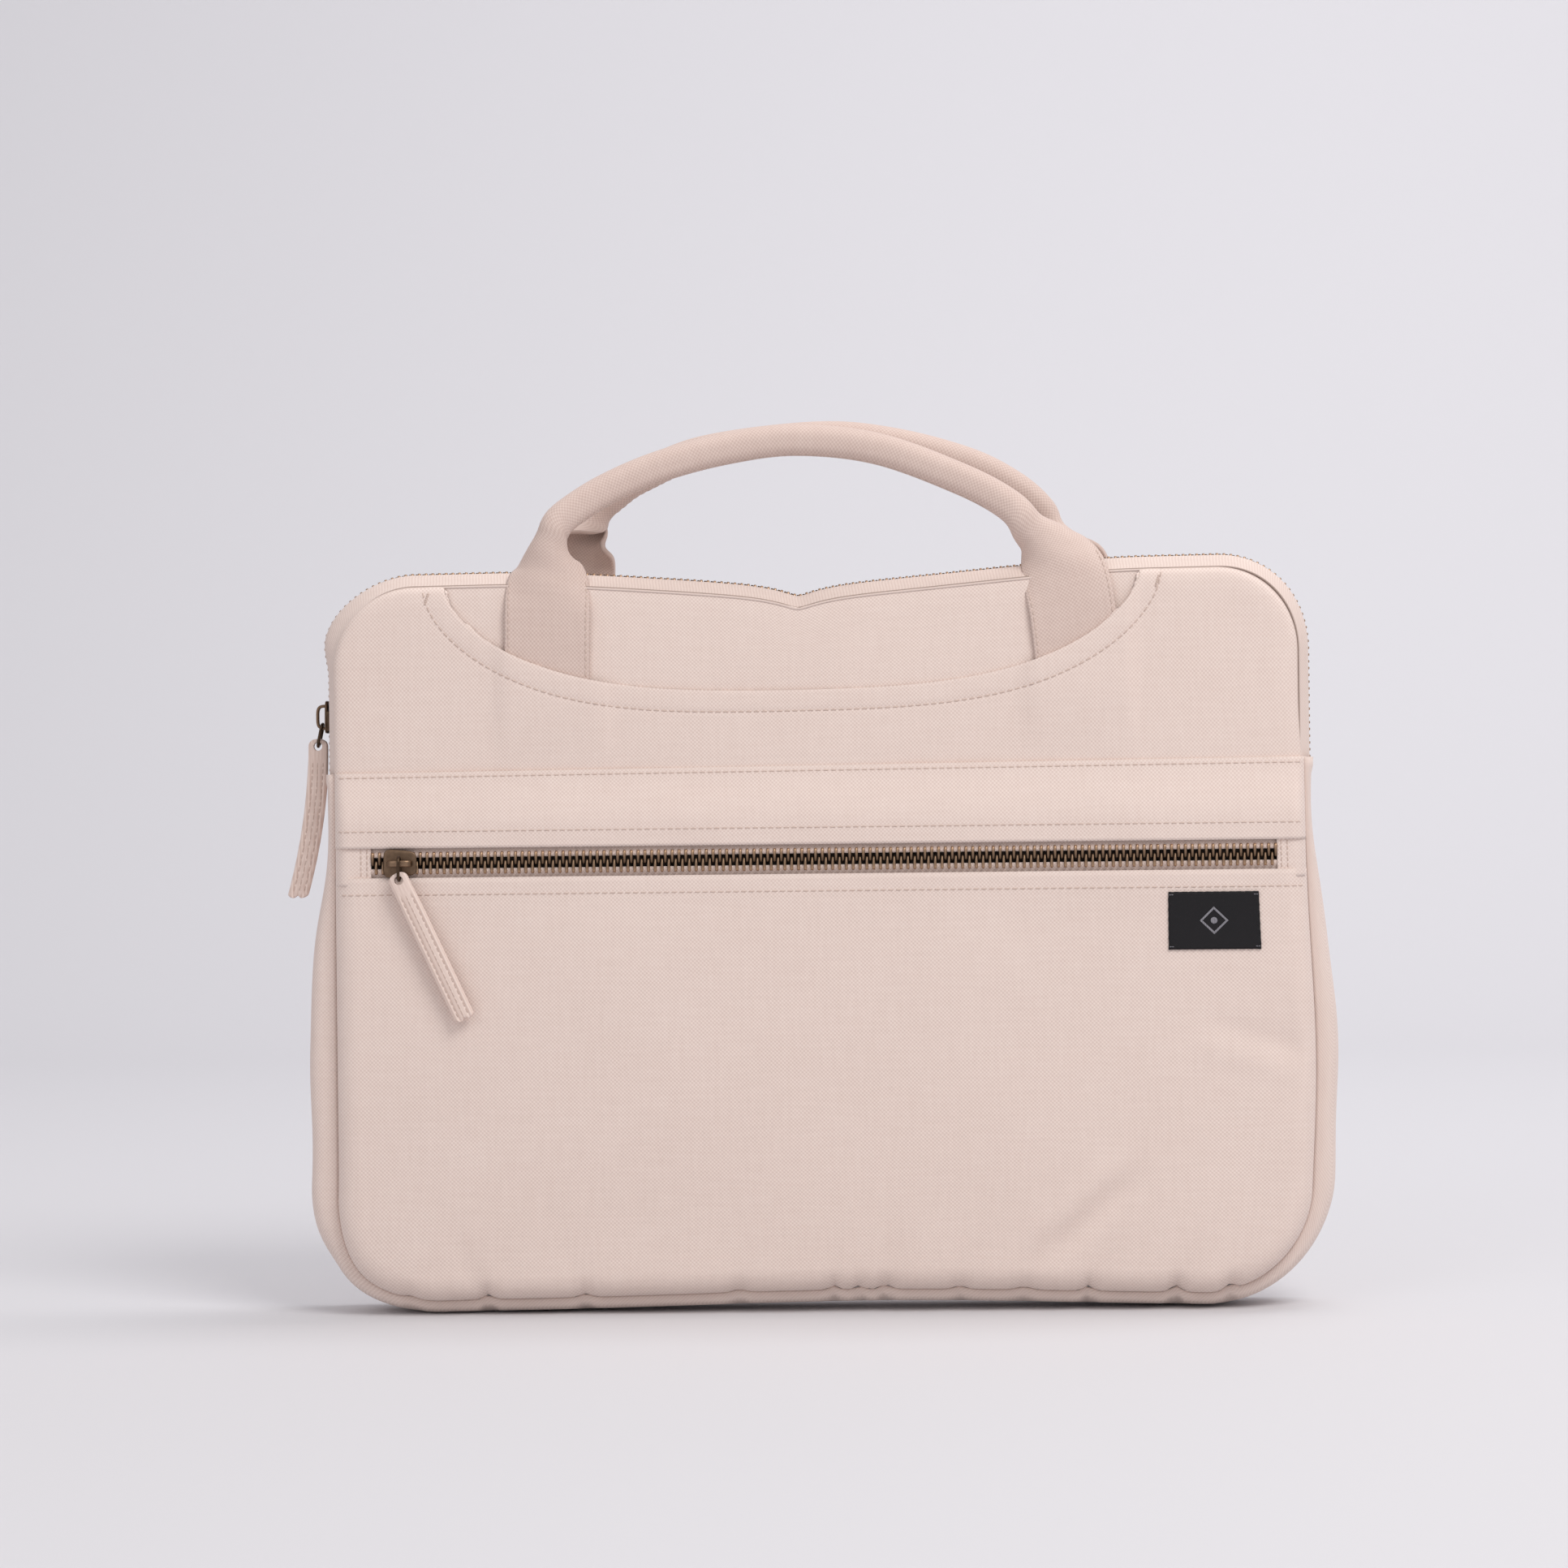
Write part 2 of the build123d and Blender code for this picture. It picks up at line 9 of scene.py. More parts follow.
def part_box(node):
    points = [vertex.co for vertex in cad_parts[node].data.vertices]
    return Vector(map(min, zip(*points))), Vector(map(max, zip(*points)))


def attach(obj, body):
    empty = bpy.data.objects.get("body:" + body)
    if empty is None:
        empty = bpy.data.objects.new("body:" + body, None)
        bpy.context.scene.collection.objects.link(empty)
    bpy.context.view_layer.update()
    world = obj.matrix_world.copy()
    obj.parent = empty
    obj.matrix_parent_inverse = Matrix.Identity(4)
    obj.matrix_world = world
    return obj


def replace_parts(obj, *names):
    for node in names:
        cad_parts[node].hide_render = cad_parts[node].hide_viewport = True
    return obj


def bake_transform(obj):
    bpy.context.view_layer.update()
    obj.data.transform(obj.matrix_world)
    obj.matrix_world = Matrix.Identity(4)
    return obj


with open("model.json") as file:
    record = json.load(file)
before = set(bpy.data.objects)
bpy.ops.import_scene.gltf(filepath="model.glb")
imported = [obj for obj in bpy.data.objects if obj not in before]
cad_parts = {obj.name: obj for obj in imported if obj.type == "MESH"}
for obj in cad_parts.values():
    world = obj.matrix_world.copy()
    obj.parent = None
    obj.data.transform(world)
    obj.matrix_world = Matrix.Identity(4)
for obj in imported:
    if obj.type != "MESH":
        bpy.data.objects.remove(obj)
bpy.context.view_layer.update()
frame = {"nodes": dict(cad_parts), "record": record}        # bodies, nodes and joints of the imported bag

mm = 0.001               # sizes below are in millimetres, meshes in metres
frontSide, backSide = -1, 1
print("bag: frame loaded with", len(frame["nodes"]), "nodes")

# Sizes read from the frame.


def boxMm(node):
    low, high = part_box(node)
    return np.array(low) / mm, np.array(high) / mm


canvasThick = 1.0
panelHigh = boxMm("back_panel")[1]
gussetHigh = boxMm("gusset_panel")[1]
body = {
    "halfWidth": panelHigh[0] + canvasThick,   # seam of the front and back panels
    "bottom": boxMm("back_panel")[0][2] - canvasThick,
    "top": panelHigh[2] + canvasThick,
    "lowCorner": 41.0,
    "highCorner": 32.0,
    "fold": gussetHigh[2],
    "seam": 18.4,                              # the panels' rims, from the middle plane
    "face": 20.5,                              # the panels' faces
    "rimRound": 10.0,
    "flapLow": 203.0,                          # lower edge of the front's upper panel, under the band
}
# How the soft bag really stands: it leans up to the right, its zipped top sags, its base arches. A pair
# gives the two heights or places between which a change grows.
lie = {
    "lean": 0.013,
    "leanSpan": (184, 240),
    "bow": 7.0,
    "bowDrop": 2.7,
    "bowReach": 130,
    "bowFrom": 225,
    "notch": 5.0,
    "notchX": -7.0,
    "notchWidth": 12.0,
    "notchFrom": 252,
    "arch": 3.2,
    "archX": 25.0,
    "archWidth": 105.0,
    "archTop": 70,
    "rightBulge": 3.4,
    "rightBulgeAt": 97.0,
    "rightBulgeTall": 55,
    "rightSpan": (130, 188),
    "rightFoot": 40,
    "leftBulge": 2.5,
    "leftSpan": (188, 197),
    "leftFade": (120, 190),
    "footPush": 3.0,
    "footAt": (-178, 16),
    "footReach": (22, 20),
    "footSink": 0.7,
    "rimDrop": 1.7,
    "rimDropSpan": (245, 283),
    "rimTuck": 2.0,
    "rimTuckSpan": (195, 235),
    "rimSide": (60, 190),
    "tapeBulge": 3.4,
    "tapeRise": (251, 266),
    "tapeFall": (268, 292),
    "gatherLift": 1.2,
    "gatherShare": 0.45,
    "seamHeights": (5, 20),
    "seamDepths": (8, 15),
}
# where the front panel is eased into the curved seam: place, depth, width, height
gathers = [(-160, 0.8, 6, 14), (-131, 1.5, 5, 14), (-93, 1.1, 6, 16), (-33, 0.9, 7, 18), (4, 1.3, 5, 20),
           (14, 1.2, 4, 14), (24, 1.5, 5, 24), (53, 1.0, 6, 30), (78, 0.9, 8, 34), (103, 1.6, 5, 22),
           (137, 2.0, 6, 16), (158, 1.8, 6, 16)]


def smooth(low, high, value):
    t = np.clip((value - low) / (high - low), 0, 1)
    return t * t * (3 - 2 * t)


# A bell-shaped bump, 1 at its middle.
def bell(value, middle, width):
    return np.exp(-(((value - middle) / width) ** 2))


# Points from their separate coordinates, spread to one shape.
def stacked(*parts):
    return np.stack(np.broadcast_arrays(*parts), axis=-1)


def unit(vectors):
    return vectors / np.linalg.norm(vectors, axis=-1, keepdims=True)


# Length run along a line at each of its points.
def runLengths(line):
    return np.concatenate([[0], np.cumsum(np.linalg.norm(np.diff(line, axis=0), axis=1))])


# Height added to each point: a lean that grows upwards, a bow between the ends of the top edge,
# a small notch near its middle, an arch under the base, and the gathers of the front's lower seam.
# Both sides also swell outwards below their middle, the left one only beyond its seam, and
# the lower left corner is pushed out.
def drape(points, share=1.0):
    x, z = points[..., 0], points[..., 2]
    lean = lie["lean"] * x * smooth(*lie["leanSpan"], z)
    sag = lie["bow"] * smooth(0, lie["bowReach"], np.abs(x)) - lie["bowDrop"]
    bow = sag * smooth(lie["bowFrom"], body["top"], z)
    away = np.sqrt((x - lie["notchX"]) ** 2 + 4) - 2
    notch = -lie["notch"] * np.exp(-away / lie["notchWidth"]) * smooth(lie["notchFrom"], body["top"], z)
    arch = lie["arch"] * bell(x, lie["archX"], lie["archWidth"]) * (1 - smooth(0, lie["archTop"], z))
    low = (1 - smooth(*lie["seamHeights"], z)) * smooth(*lie["seamDepths"], -points[..., 1])
    for place, deep, wide, _ in gathers:
        arch = arch + lie["gatherLift"] * deep * bell(x, place, lie["gatherShare"] * wide) * low
    moved = points.copy()
    moved[..., 2] += share * (lean + bow + notch + arch)
    right = bell(z, lie["rightBulgeAt"], lie["rightBulgeTall"])
    right = right * smooth(*lie["rightSpan"], x) * smooth(0, lie["rightFoot"], z)
    left = (1 - smooth(*lie["leftFade"], z)) * smooth(*lie["leftSpan"], -x)
    (footX, footZ), (reachX, reachZ) = lie["footAt"], lie["footReach"]
    foot = lie["footPush"] * bell(x, footX, reachX) * bell(z, footZ, reachZ)
    moved[..., 0] += share * (lie["rightBulge"] * right - lie["leftBulge"] * left - foot)
    moved[..., 2] -= share * lie["footSink"] * foot
    return moved


# The panels' upper rim settles a little inside the zip's line, on the right side and along the top; the
# tape and teeth stand out beyond it at the upper left corner. Share 1 is the rim, 0 the teeth.
def settle(points, share=1.0):
    x, z = points[..., 0], points[..., 2]
    moved = points.copy()
    moved[..., 0] -= share * lie["rimTuck"] * smooth(*lie["rimTuckSpan"], z) * smooth(*lie["rimSide"], x)
    moved[..., 2] -= share * lie["rimDrop"] * smooth(*lie["rimDropSpan"], z)
    out = smooth(*lie["tapeRise"], z) * (1 - smooth(*lie["tapeFall"], z)) * smooth(*lie["rimSide"], -x)
    moved[..., 0] -= (1 - share) * lie["tapeBulge"] * out
    return drape(moved)


# Distance inwards from the panels' rounded outline: a box whose corners are arcs.
def edgeDistance(x, z):
    low = z < body["fold"] / 2
    corner = np.where(low, body["lowCorner"], body["highCorner"])
    across = np.abs(x) - (body["halfWidth"] - corner)
    upright = np.where(low, body["bottom"] + corner - z, z - body["top"] + corner)
    outside = np.hypot(np.maximum(across, 0), np.maximum(upright, 0))
    return corner - outside - np.minimum(np.maximum(across, upright), 0)


# Quarter round: 0 at the rim, 1 from the given width inwards.
def roundRise(distance, width):
    t = np.clip(distance / width, 0, 1)
    return np.sqrt(np.clip(1 - (1 - t) ** 2, 0, 1))


# Meshes.


def makePiece(name, points, faces, uv, material, wearAndHighlight=None):
    mesh = bpy.data.meshes.new(name)
    mesh.vertices.add(len(points))
    mesh.vertices.foreach_set("co", (points * mm).astype(np.float32).ravel())
    mesh.loops.add(faces.size)
    mesh.loops.foreach_set("vertex_index", faces.astype(np.int32).ravel())
    mesh.polygons.add(len(faces))
    mesh.polygons.foreach_set("loop_start", np.arange(0, faces.size, 4, dtype=np.int32))
    mesh.polygons.foreach_set("use_smooth", np.ones(len(faces), dtype=bool))
    mesh.update(calc_edges=True)
    layer = mesh.uv_layers.new(name="cloth")
    layer.data.foreach_set("uv", (uv * mm).astype(np.float32).ravel())
    if wearAndHighlight is not None:
        mesh.attributes.new("wearAndHighlight", "FLOAT", "POINT").data.foreach_set("value", wearAndHighlight.astype(np.float32))
    mesh.validate()
    mesh.materials.append(material)
    piece = bpy.data.objects.new(name, mesh)
    bpy.context.scene.collection.objects.link(piece)
    return piece


# Quads over a grid of points, rows x columns x 3; a ring joins its last column to its first. The
# cloth's own coordinates are the ones given, or the lengths run along its rows and columns.
def gridPiece(name, points, material, slot, uv=None, ring=False, flip=False, wearAndHighlight=None):
    rows, columns = points.shape[:2]
    index = np.arange(rows * columns).reshape(rows, columns)
    if ring:
        index = np.concatenate([index, index[:, :1]], axis=1)
    if uv is None:
        wide = points.reshape(-1, 3)[index]
        across = np.zeros(index.shape)
        across[:, 1:] = np.cumsum(np.linalg.norm(np.diff(wide, axis=1), axis=2), axis=1)
        along = np.zeros(index.shape)
        along[1:] = np.cumsum(np.linalg.norm(np.diff(wide, axis=0), axis=2), axis=0)
        uv = np.stack([across, along], axis=-1)
    corners = [(slice(0, -1), slice(0, -1)), (slice(0, -1), slice(1, None))]
    corners += [(slice(1, None), slice(1, None)), (slice(1, None), slice(0, -1))]
    if flip:
        corners.reverse()
    faces = np.stack([index[c] for c in corners], axis=-1).reshape(-1, 4)
    uvs = np.stack([uv[c] for c in corners], axis=-2).reshape(-1, 2)
    flatWearAndHighlight = None if wearAndHighlight is None else wearAndHighlight.ravel()
    return makePiece(name, points.reshape(-1, 3), faces, uvs, material, flatWearAndHighlight)


# Many copies of one small closed shape, each set in its own frame of three axes.
def scatter(name, template, faces, origins, axes, material, wearAndHighlight=None):
    count, size = len(origins), len(template)
    points = origins[:, None, :] + np.einsum("pk,nkd->npd", template, axes)
    offsets = (np.arange(count) * size)[:, None, None]
    allFaces = (faces[None] + offsets).reshape(-1, 4)
    uv = np.tile(template[faces.ravel()][:, :2], (count, 1))
    allWearAndHighlight = None if wearAndHighlight is None else np.tile(wearAndHighlight, count)
    return makePiece(name, points.reshape(-1, 3), allFaces, uv, material, allWearAndHighlight)


# A closed bar whose cross-cuts are rings of points: side quads, and both ends closed with quads.
def ringFaces(rings, sides):
    faces = []
    for ring in range(0, (rings - 1) * sides, sides):
        for s in range(sides):
            n = (s + 1) % sides
            faces.append((ring + s, ring + n, ring + sides + n, ring + sides + s))
    last = (rings - 1) * sides
    for k in range(1, sides // 2):
        faces.append((k, k - 1, sides - k, sides - k - 1))
        faces.append((last + sides - k - 1, last + sides - k, last + k - 1, last + k))
    return np.array(faces)


def thicken(piece, thickness, offset=-1.0):
    solid = piece.modifiers.new("thickness", "SOLIDIFY")
    solid.thickness = thickness * mm
    solid.offset = offset
    solid.use_even_offset = False
    return piece


# A thickened cloth that stands for one or more of the frame's nodes.
def clothPiece(name, points, material, slot, thickness, *nodes, offset=-1.0, **sizes):
    piece = gridPiece(name, points, material, slot, **sizes)
    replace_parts(thicken(piece, thickness, offset), *nodes)
    return piece


def signedPower(value, power):
    return np.sign(value) * np.abs(value) ** power


# Each closed block is a squarish egg: rings of points, with both poles drawn together.
def roundedBlock(size, centre, ease=0.35, around=28, rings=13, taper=0.0):
    lat = np.linspace(-math.pi / 2, math.pi / 2, rings)[:, None]
    lon = np.linspace(0, 2 * math.pi, around + 1)[:-1][None, :]
    x = signedPower(np.cos(lat), ease) * signedPower(np.cos(lon), ease)
    y = signedPower(np.cos(lat), ease) * signedPower(np.sin(lon), ease)
    y = y * (1 - taper * x)
    return stacked(x, y, signedPower(np.sin(lat), ease)) * np.array(size) / 2 + np.array(centre)


# A closed bar of squarish section along a path, its ends drawn together.
def barAlong(path, wide, halfWide, halfThick, sides=16, ease=0.6):
    facing = unit(np.cross(unit(np.gradient(path, axis=0)), wide))
    angle = np.linspace(0, 2 * math.pi, sides + 1)[:-1]
    shrink = np.ones(len(path))
    shrink[[0, -1]] = 0
    u = signedPower(np.cos(angle), ease)[None] * (halfWide * shrink)[:, None]
    v = signedPower(np.sin(angle), ease)[None] * (halfThick * shrink)[:, None]
    across = np.broadcast_to(wide, path.shape)[:, None]
    return path[:, None] + u[..., None] * across + v[..., None] * facing[:, None]


# Several rings-by-columns surfaces in one mesh, placed in a frame of three axes. Each part's metal has
# its own even level of wear, and its outermost face is made a little paler still.
def ringsPiece(name, grids, axes, origin, material, wearAndHighlight=0.0):
    points, faces, start = [], [], 0
    for grid in grids:
        rows, columns = grid.shape[:2]
        index = np.arange(rows * columns).reshape(rows, columns) + start
        index = np.concatenate([index, index[:, :1]], axis=1)
        faces.append(np.stack([index[:-1, :-1], index[:-1, 1:], index[1:, 1:], index[1:, :-1]],
                              axis=-1).reshape(-1, 4))
        points.append(grid.reshape(-1, 3))
        start += rows * columns
    local, faces = np.concatenate(points), np.concatenate(faces)
    world = np.array(origin) + local @ np.array(axes, float)
    uv = local[faces.ravel()][:, :2]
    edge = np.full(len(world), float(wearAndHighlight)) + 0.15 * (local[:, 2] > local[:, 2].max() - 0.5)
    piece = makePiece(name, world, faces, uv, material, np.clip(edge, 0, 1))
    weld(piece)
    return piece


def weld(piece):
    work = bmesh.new()
    work.from_mesh(piece.data)
    bmesh.ops.remove_doubles(work, verts=work.verts, dist=1e-6)
    bmesh.ops.dissolve_degenerate(work, edges=work.edges, dist=1e-7)
    bmesh.ops.recalc_face_normals(work, faces=work.faces)
    work.to_mesh(piece.data)
    work.free()


# Materials.


def colour(hexText):
    parts = [int(hexText[i:i + 2], 16) / 255 for i in (1, 3, 5)]
    return [p / 12.92 if p <= 0.04045 else ((p + 0.055) / 1.055) ** 2.4 for p in parts] + [1.0]


# Adds a node: inputs are constants or sockets to link, settings are its own properties.
def addNode(tree, kind, inputs=None, **settings):
    node = tree.nodes.new(kind)
    for key, value in settings.items():
        setattr(node, key, value)
    for key, value in (inputs or {}).items():
        if isinstance(value, bpy.types.NodeSocket):
            tree.links.new(value, node.inputs[key])
        else:
            node.inputs[key].default_value = value
    return node


def newMaterial(name):
    material = bpy.data.materials.new(name)
    material.use_nodes = True
    tree = material.node_tree
    tree.nodes.clear()
    return material, tree


# Woven cotton: matt, with threads that pass over and under, thicker and thinner yarns, and paler tops than
# gaps: the colour follows the threads' height, so the gaps and thinner yarns get painted shade. The weave is
# drawn a little coarser than real thread so that it shows. A slub, or thick place in a yarn, is a few threads
# wide and runs on for some centimetres.
slubPerMetre, slubThreads, patchPerMetre, patchShare = 55, 2.2, 22.0, 0.25


def wovenCloth(name, light, dark, thread, relief=0.35, sheen=0.15, slub=0.3, rough=0.9):
    material, tree = newMaterial(name)
    place = addNode(tree, "ShaderNodeTexCoord").outputs["UV"]
    turns = math.pi / (thread * mm)
    threads = addNode(tree, "ShaderNodeMapping", {0: place, "Scale": (turns, turns, 1)})
    split = addNode(tree, "ShaderNodeSeparateXYZ", {0: threads.outputs[0]})
    warp = addNode(tree, "ShaderNodeMath", {0: split.outputs[0]}, operation="SINE")
    weft = addNode(tree, "ShaderNodeMath", {0: split.outputs[1]}, operation="SINE")
    cross = addNode(tree, "ShaderNodeMath", {0: warp.outputs[0], 1: weft.outputs[0]}, operation="MULTIPLY")
    over = addNode(tree, "ShaderNodeMapRange", {0: cross.outputs[0], 1: -1.0, 2: 1.0})
    yarns = []
    fine = 1 / (slubThreads * thread * mm)
    for scale in ((slubPerMetre, fine, 1), (fine, slubPerMetre, 1)):
        run = addNode(tree, "ShaderNodeMapping", {0: place, "Scale": scale})
        noise = addNode(tree, "ShaderNodeTexNoise", {0: run.outputs[0], "Scale": 1.0, "Detail": 2.0})
        yarns.append(noise.outputs["Fac"])
    yarn = addNode(tree, "ShaderNodeMath", {0: yarns[0], 1: yarns[1]}, operation="ADD")
    patches = addNode(tree, "ShaderNodeTexNoise", {0: place, "Scale": patchPerMetre, "Detail": 3.0})
    height = addNode(tree, "ShaderNodeMath", {0: yarn.outputs[0], 1: slub, 2: over.outputs[0]},
                     operation="MULTIPLY_ADD")
    # colour amount: painted shade from the threads' height, plus patches of random tone
    paintedShadeAndPatches = addNode(tree, "ShaderNodeMath", {0: patches.outputs["Fac"], 1: patchShare,
                                             2: height.outputs[0]}, operation="MULTIPLY_ADD")
    amount = addNode(tree, "ShaderNodeMapRange", {0: paintedShadeAndPatches.outputs[0], 1: 0.2, 2: 1.65})
    tint = addNode(tree, "ShaderNodeMix", {"Factor": amount.outputs[0], 6: colour(dark), 7: colour(light)},
                   data_type="RGBA")
    bump = addNode(tree, "ShaderNodeBump", {"Strength": relief, "Distance": 0.3 * thread * mm,
                                            "Height": height.outputs[0]})
    shader = addNode(tree, "ShaderNodeBsdfPrincipled", {
        "Base Color": tint.outputs[2], "Roughness": rough, "Normal": bump.outputs[0],
        "Sheen Weight": sheen, "Sheen Roughness": 0.5, "Specular IOR Level": 0.25})
    addNode(tree, "ShaderNodeOutputMaterial", {0: shader.outputs[0]})
    return material


# Antique brass: cast or stamped, darkened brown in the hollows and burnished gold where it is rubbed.
# The per-point value that pales it to gold holds that rubbing and, at the teeth's outer ends, painted
# highlight.
def antiqueBrass(name, dark, gold, burnish):
    material, tree = newMaterial(name)
    place = addNode(tree, "ShaderNodeTexCoord").outputs["Object"]
    # per-point paling to gold: real rubbing, and painted highlight at the teeth's outer ends
    wearAndHighlightValue = addNode(tree, "ShaderNodeAttribute", attribute_name="wearAndHighlight")
    spots = addNode(tree, "ShaderNodeTexNoise", {0: place, "Scale": 700.0, "Detail": 3.0})
    amount = addNode(tree, "ShaderNodeMath", {0: spots.outputs["Fac"], 1: burnish, 2: wearAndHighlightValue.outputs["Fac"]},
                     operation="MULTIPLY_ADD", use_clamp=True)
    tint = addNode(tree, "ShaderNodeMix", {"Factor": amount.outputs[0], 6: colour(dark), 7: colour(gold)},
                   data_type="RGBA")
    rough = addNode(tree, "ShaderNodeMapRange", {0: spots.outputs["Fac"], 3: 0.28, 4: 0.52})
    bump = addNode(tree, "ShaderNodeBump", {"Strength": 0.15, "Distance": 0.0001,
                                            "Height": spots.outputs["Fac"]})
    shader = addNode(tree, "ShaderNodeBsdfPrincipled", {
        "Base Color": tint.outputs[2], "Metallic": 1.0, "Roughness": rough.outputs[0],
        "Normal": bump.outputs[0]})
    addNode(tree, "ShaderNodeOutputMaterial", {0: shader.outputs[0]})
    return material


# Closed-cell foam: dull, with fine open pores on its cut faces; the pores are coloured darker as painted
# shade in their hollows.
def cellFoam(name, base, poreShade):
    material, tree = newMaterial(name)
    place = addNode(tree, "ShaderNodeTexCoord").outputs["Object"]
    cells = addNode(tree, "ShaderNodeTexVoronoi", {0: place, "Scale": 900.0})
    tint = addNode(tree, "ShaderNodeMix", {"Factor": cells.outputs["Distance"], 6: colour(poreShade),
                                           7: colour(base)}, data_type="RGBA")
    bump = addNode(tree, "ShaderNodeBump", {"Strength": 0.4, "Distance": 0.0003,
                                            "Height": cells.outputs["Distance"]})
    shader = addNode(tree, "ShaderNodeBsdfPrincipled", {
        "Base Color": tint.outputs[2], "Roughness": 0.95, "Normal": bump.outputs[0]})
    addNode(tree, "ShaderNodeOutputMaterial", {0: shader.outputs[0]})
    return material


canvas = wovenCloth("cottonCanvas", "#efdfd6", "#d0bab0", thread=0.75)
# Handle webbing, coloured darker than the canvas: painted shade standing for the shade along the rolled
# handles.
shadedWebbing = wovenCloth("canvasWebbingPaintedShade", "#e1cec4", "#bfa69c", thread=0.75)
pullCloth = wovenCloth("pullCanvas", "#efddd3", "#ccb3a7", thread=0.7)
zipTape = wovenCloth("zipTapeWeave", "#eadad1", "#ccb6ac", thread=0.6, relief=0.25)
liningCloth = wovenCloth("liningTwill", "#8d7f79", "#5c514c", thread=0.4, relief=0.15, sheen=0.05)
bindingCloth = wovenCloth("bindingTape", "#bfaba1", "#8f7d74", thread=0.7, relief=0.25)
coreCotton = wovenCloth("cottonCord", "#d8d0c4", "#a79d90", thread=1.2, relief=0.5)
# Sewing thread, coloured darker than the canvas it is sewn into: painted shade for the shade in the stitches'
# recesses.
shadedThread = wovenCloth("sewingThreadPaintedShade", "#dfccc1", "#b8a093", thread=0.3, relief=0.2)
labelSatin = wovenCloth("wovenSatin", "#1e1c1f", "#100f11", thread=0.45, relief=0.3, sheen=0.05, rough=0.7)
markThread = wovenCloth("greyThread", "#98969c", "#5f5d63", thread=0.4, relief=0.2)
brass = antiqueBrass("antiqueBrass", "#30261f", "#b8987c", 0.25)
foam = cellFoam("closedCellFoam", "#a8a8aa", "#6c6c6e")
print("bag: materials made")

# Flat panels.


# Steps from 0 to 1, closer together at the ends that are eased.
def easedSteps(count, easeStart, easeEnd):
    t = np.linspace(0, 1, count)
    if easeStart and easeEnd:
        t = (1 - np.cos(math.pi * t)) / 2
    elif easeStart:
        t = 1 - np.cos(math.pi / 2 * t)
    elif easeEnd:
        t = np.sin(math.pi / 2 * t)
    return t


def columnsTo(start, end, count, easeStart=True, easeEnd=True):
    return start + (end - start) * easedSteps(count, easeStart, easeEnd)


# A panel's columns run from its low line to its high one.
def panelGrid(xs, low, high, rows, easeLow, easeHigh):
    x = np.broadcast_to(xs[None, :], (rows, len(xs)))
    z = low + (high - low) * easedSteps(rows, easeLow, easeHigh)[:, None]
    return x, z


# Rise of a rounded corner's arc above its outline's straight edge.
def cornerArc(x, corner):
    over = np.clip(np.abs(x) - (body["halfWidth"] - corner), 0, corner)
    return corner - np.sqrt(corner ** 2 - over ** 2)


def outlineLow(x):
    return body["bottom"] + cornerArc(x, body["lowCorner"])


def outlineHigh(x):
    return body["top"] - cornerArc(x, body["highCorner"])


def flapLow(x):
    return np.full(len(x), body["flapLow"])


# Both cloths turn in at a seam, so it reads as a thin dark line.
def seamCrease(distance):
    return 1.7 * np.exp(-np.maximum(distance, 0) / 0.9)


scoop = {
    "x": -9.0,
    "halfWidth": 136.0,
    "low": 243.3,
    "rise": 40.7,
    "hem": 8.5,
    "fold": 0.9,              # how far the hem's fold turns in, and over what width
    "foldRound": 1.4,
    "puff": 0.15,
    "stitchDip": 0.16,
    "strapLift": 1.8,         # the panel rides up over the straps' hidden ends
    "strapAt": 103,
    "strapEdge": (17, 25),
    "strapSpan": (208, 242),
}


# The scoop's edge: flat in the middle and ever steeper towards its two upper ends.
def scoopEdge(x):
    t = np.clip(np.abs(x - scoop["x"]) / scoop["halfWidth"], 0, 1)
    return scoop["low"] + scoop["rise"] * (1 - (1 - t ** 3.2) ** 0.6)


def scoopLine(count):
    xs = scoop["x"] + scoop["halfWidth"] * np.sin(np.linspace(-math.pi / 2, math.pi / 2, count))
    return np.stack([xs, scoopEdge(xs)], axis=1)


def scoopDistance(x, z):
    line = scoopLine(160)
    flatX, flatZ = x.reshape(-1, 1), z.reshape(-1, 1)
    gap = np.hypot(flatX - line[None, :, 0], flatZ - line[None, :, 1]).min(axis=1)
    return gap.reshape(x.shape)


# Depth of the scooped panel in front of the middle plane: rounded at its rim, with a folded hem
# along the scoop that puffs up between the fold and its stitches.
def panelDepth(x, z):
    edge = edgeDistance(x, z)
    rim = body["seam"] + (body["face"] - body["seam"]) * roundRise(edge, body["rimRound"]) - seamCrease(edge)
    gap = scoopDistance(x, z)
    fold = -scoop["fold"] * (1 - roundRise(gap, scoop["foldRound"]))
    puff = scoop["puff"] * np.sin(math.pi * np.clip(gap / scoop["hem"], 0, 1))
    dip = scoop["stitchDip"] * bell(gap, scoop["hem"], 1)
    swell = 0.4 * np.cos(x / 31.0 + 0.7) * np.sin(z / 27.0) * smooth(2, 30, edge)
    beside = np.abs(np.abs(x) - scoop["strapAt"])
    overStrap = (1 - smooth(*scoop["strapEdge"], beside)) * smooth(*scoop["strapSpan"], z)
    return rim + fold + puff - dip + swell + 0.3 + scoop["strapLift"] * overStrap


def scoopedPanel(name, side, low, node):
    left, right = scoop["x"] - scoop["halfWidth"], scoop["x"] + scoop["halfWidth"]
    xs = np.concatenate([
        columnsTo(-body["halfWidth"], left, 34)[:-1],
        columnsTo(left, right, 110)[:-1],
        columnsTo(right, body["halfWidth"], 40),
    ])
    high = np.minimum(outlineHigh(xs), scoopEdge(xs))
    x, z = panelGrid(xs, low(xs), high, 90, low is outlineLow, True)
    points = settle(stacked(x, side * panelDepth(x, z), z))
    return clothPiece(name, points, canvas, "canvas", canvasThick, node, uv=stacked(x, z), flip=side > 0)


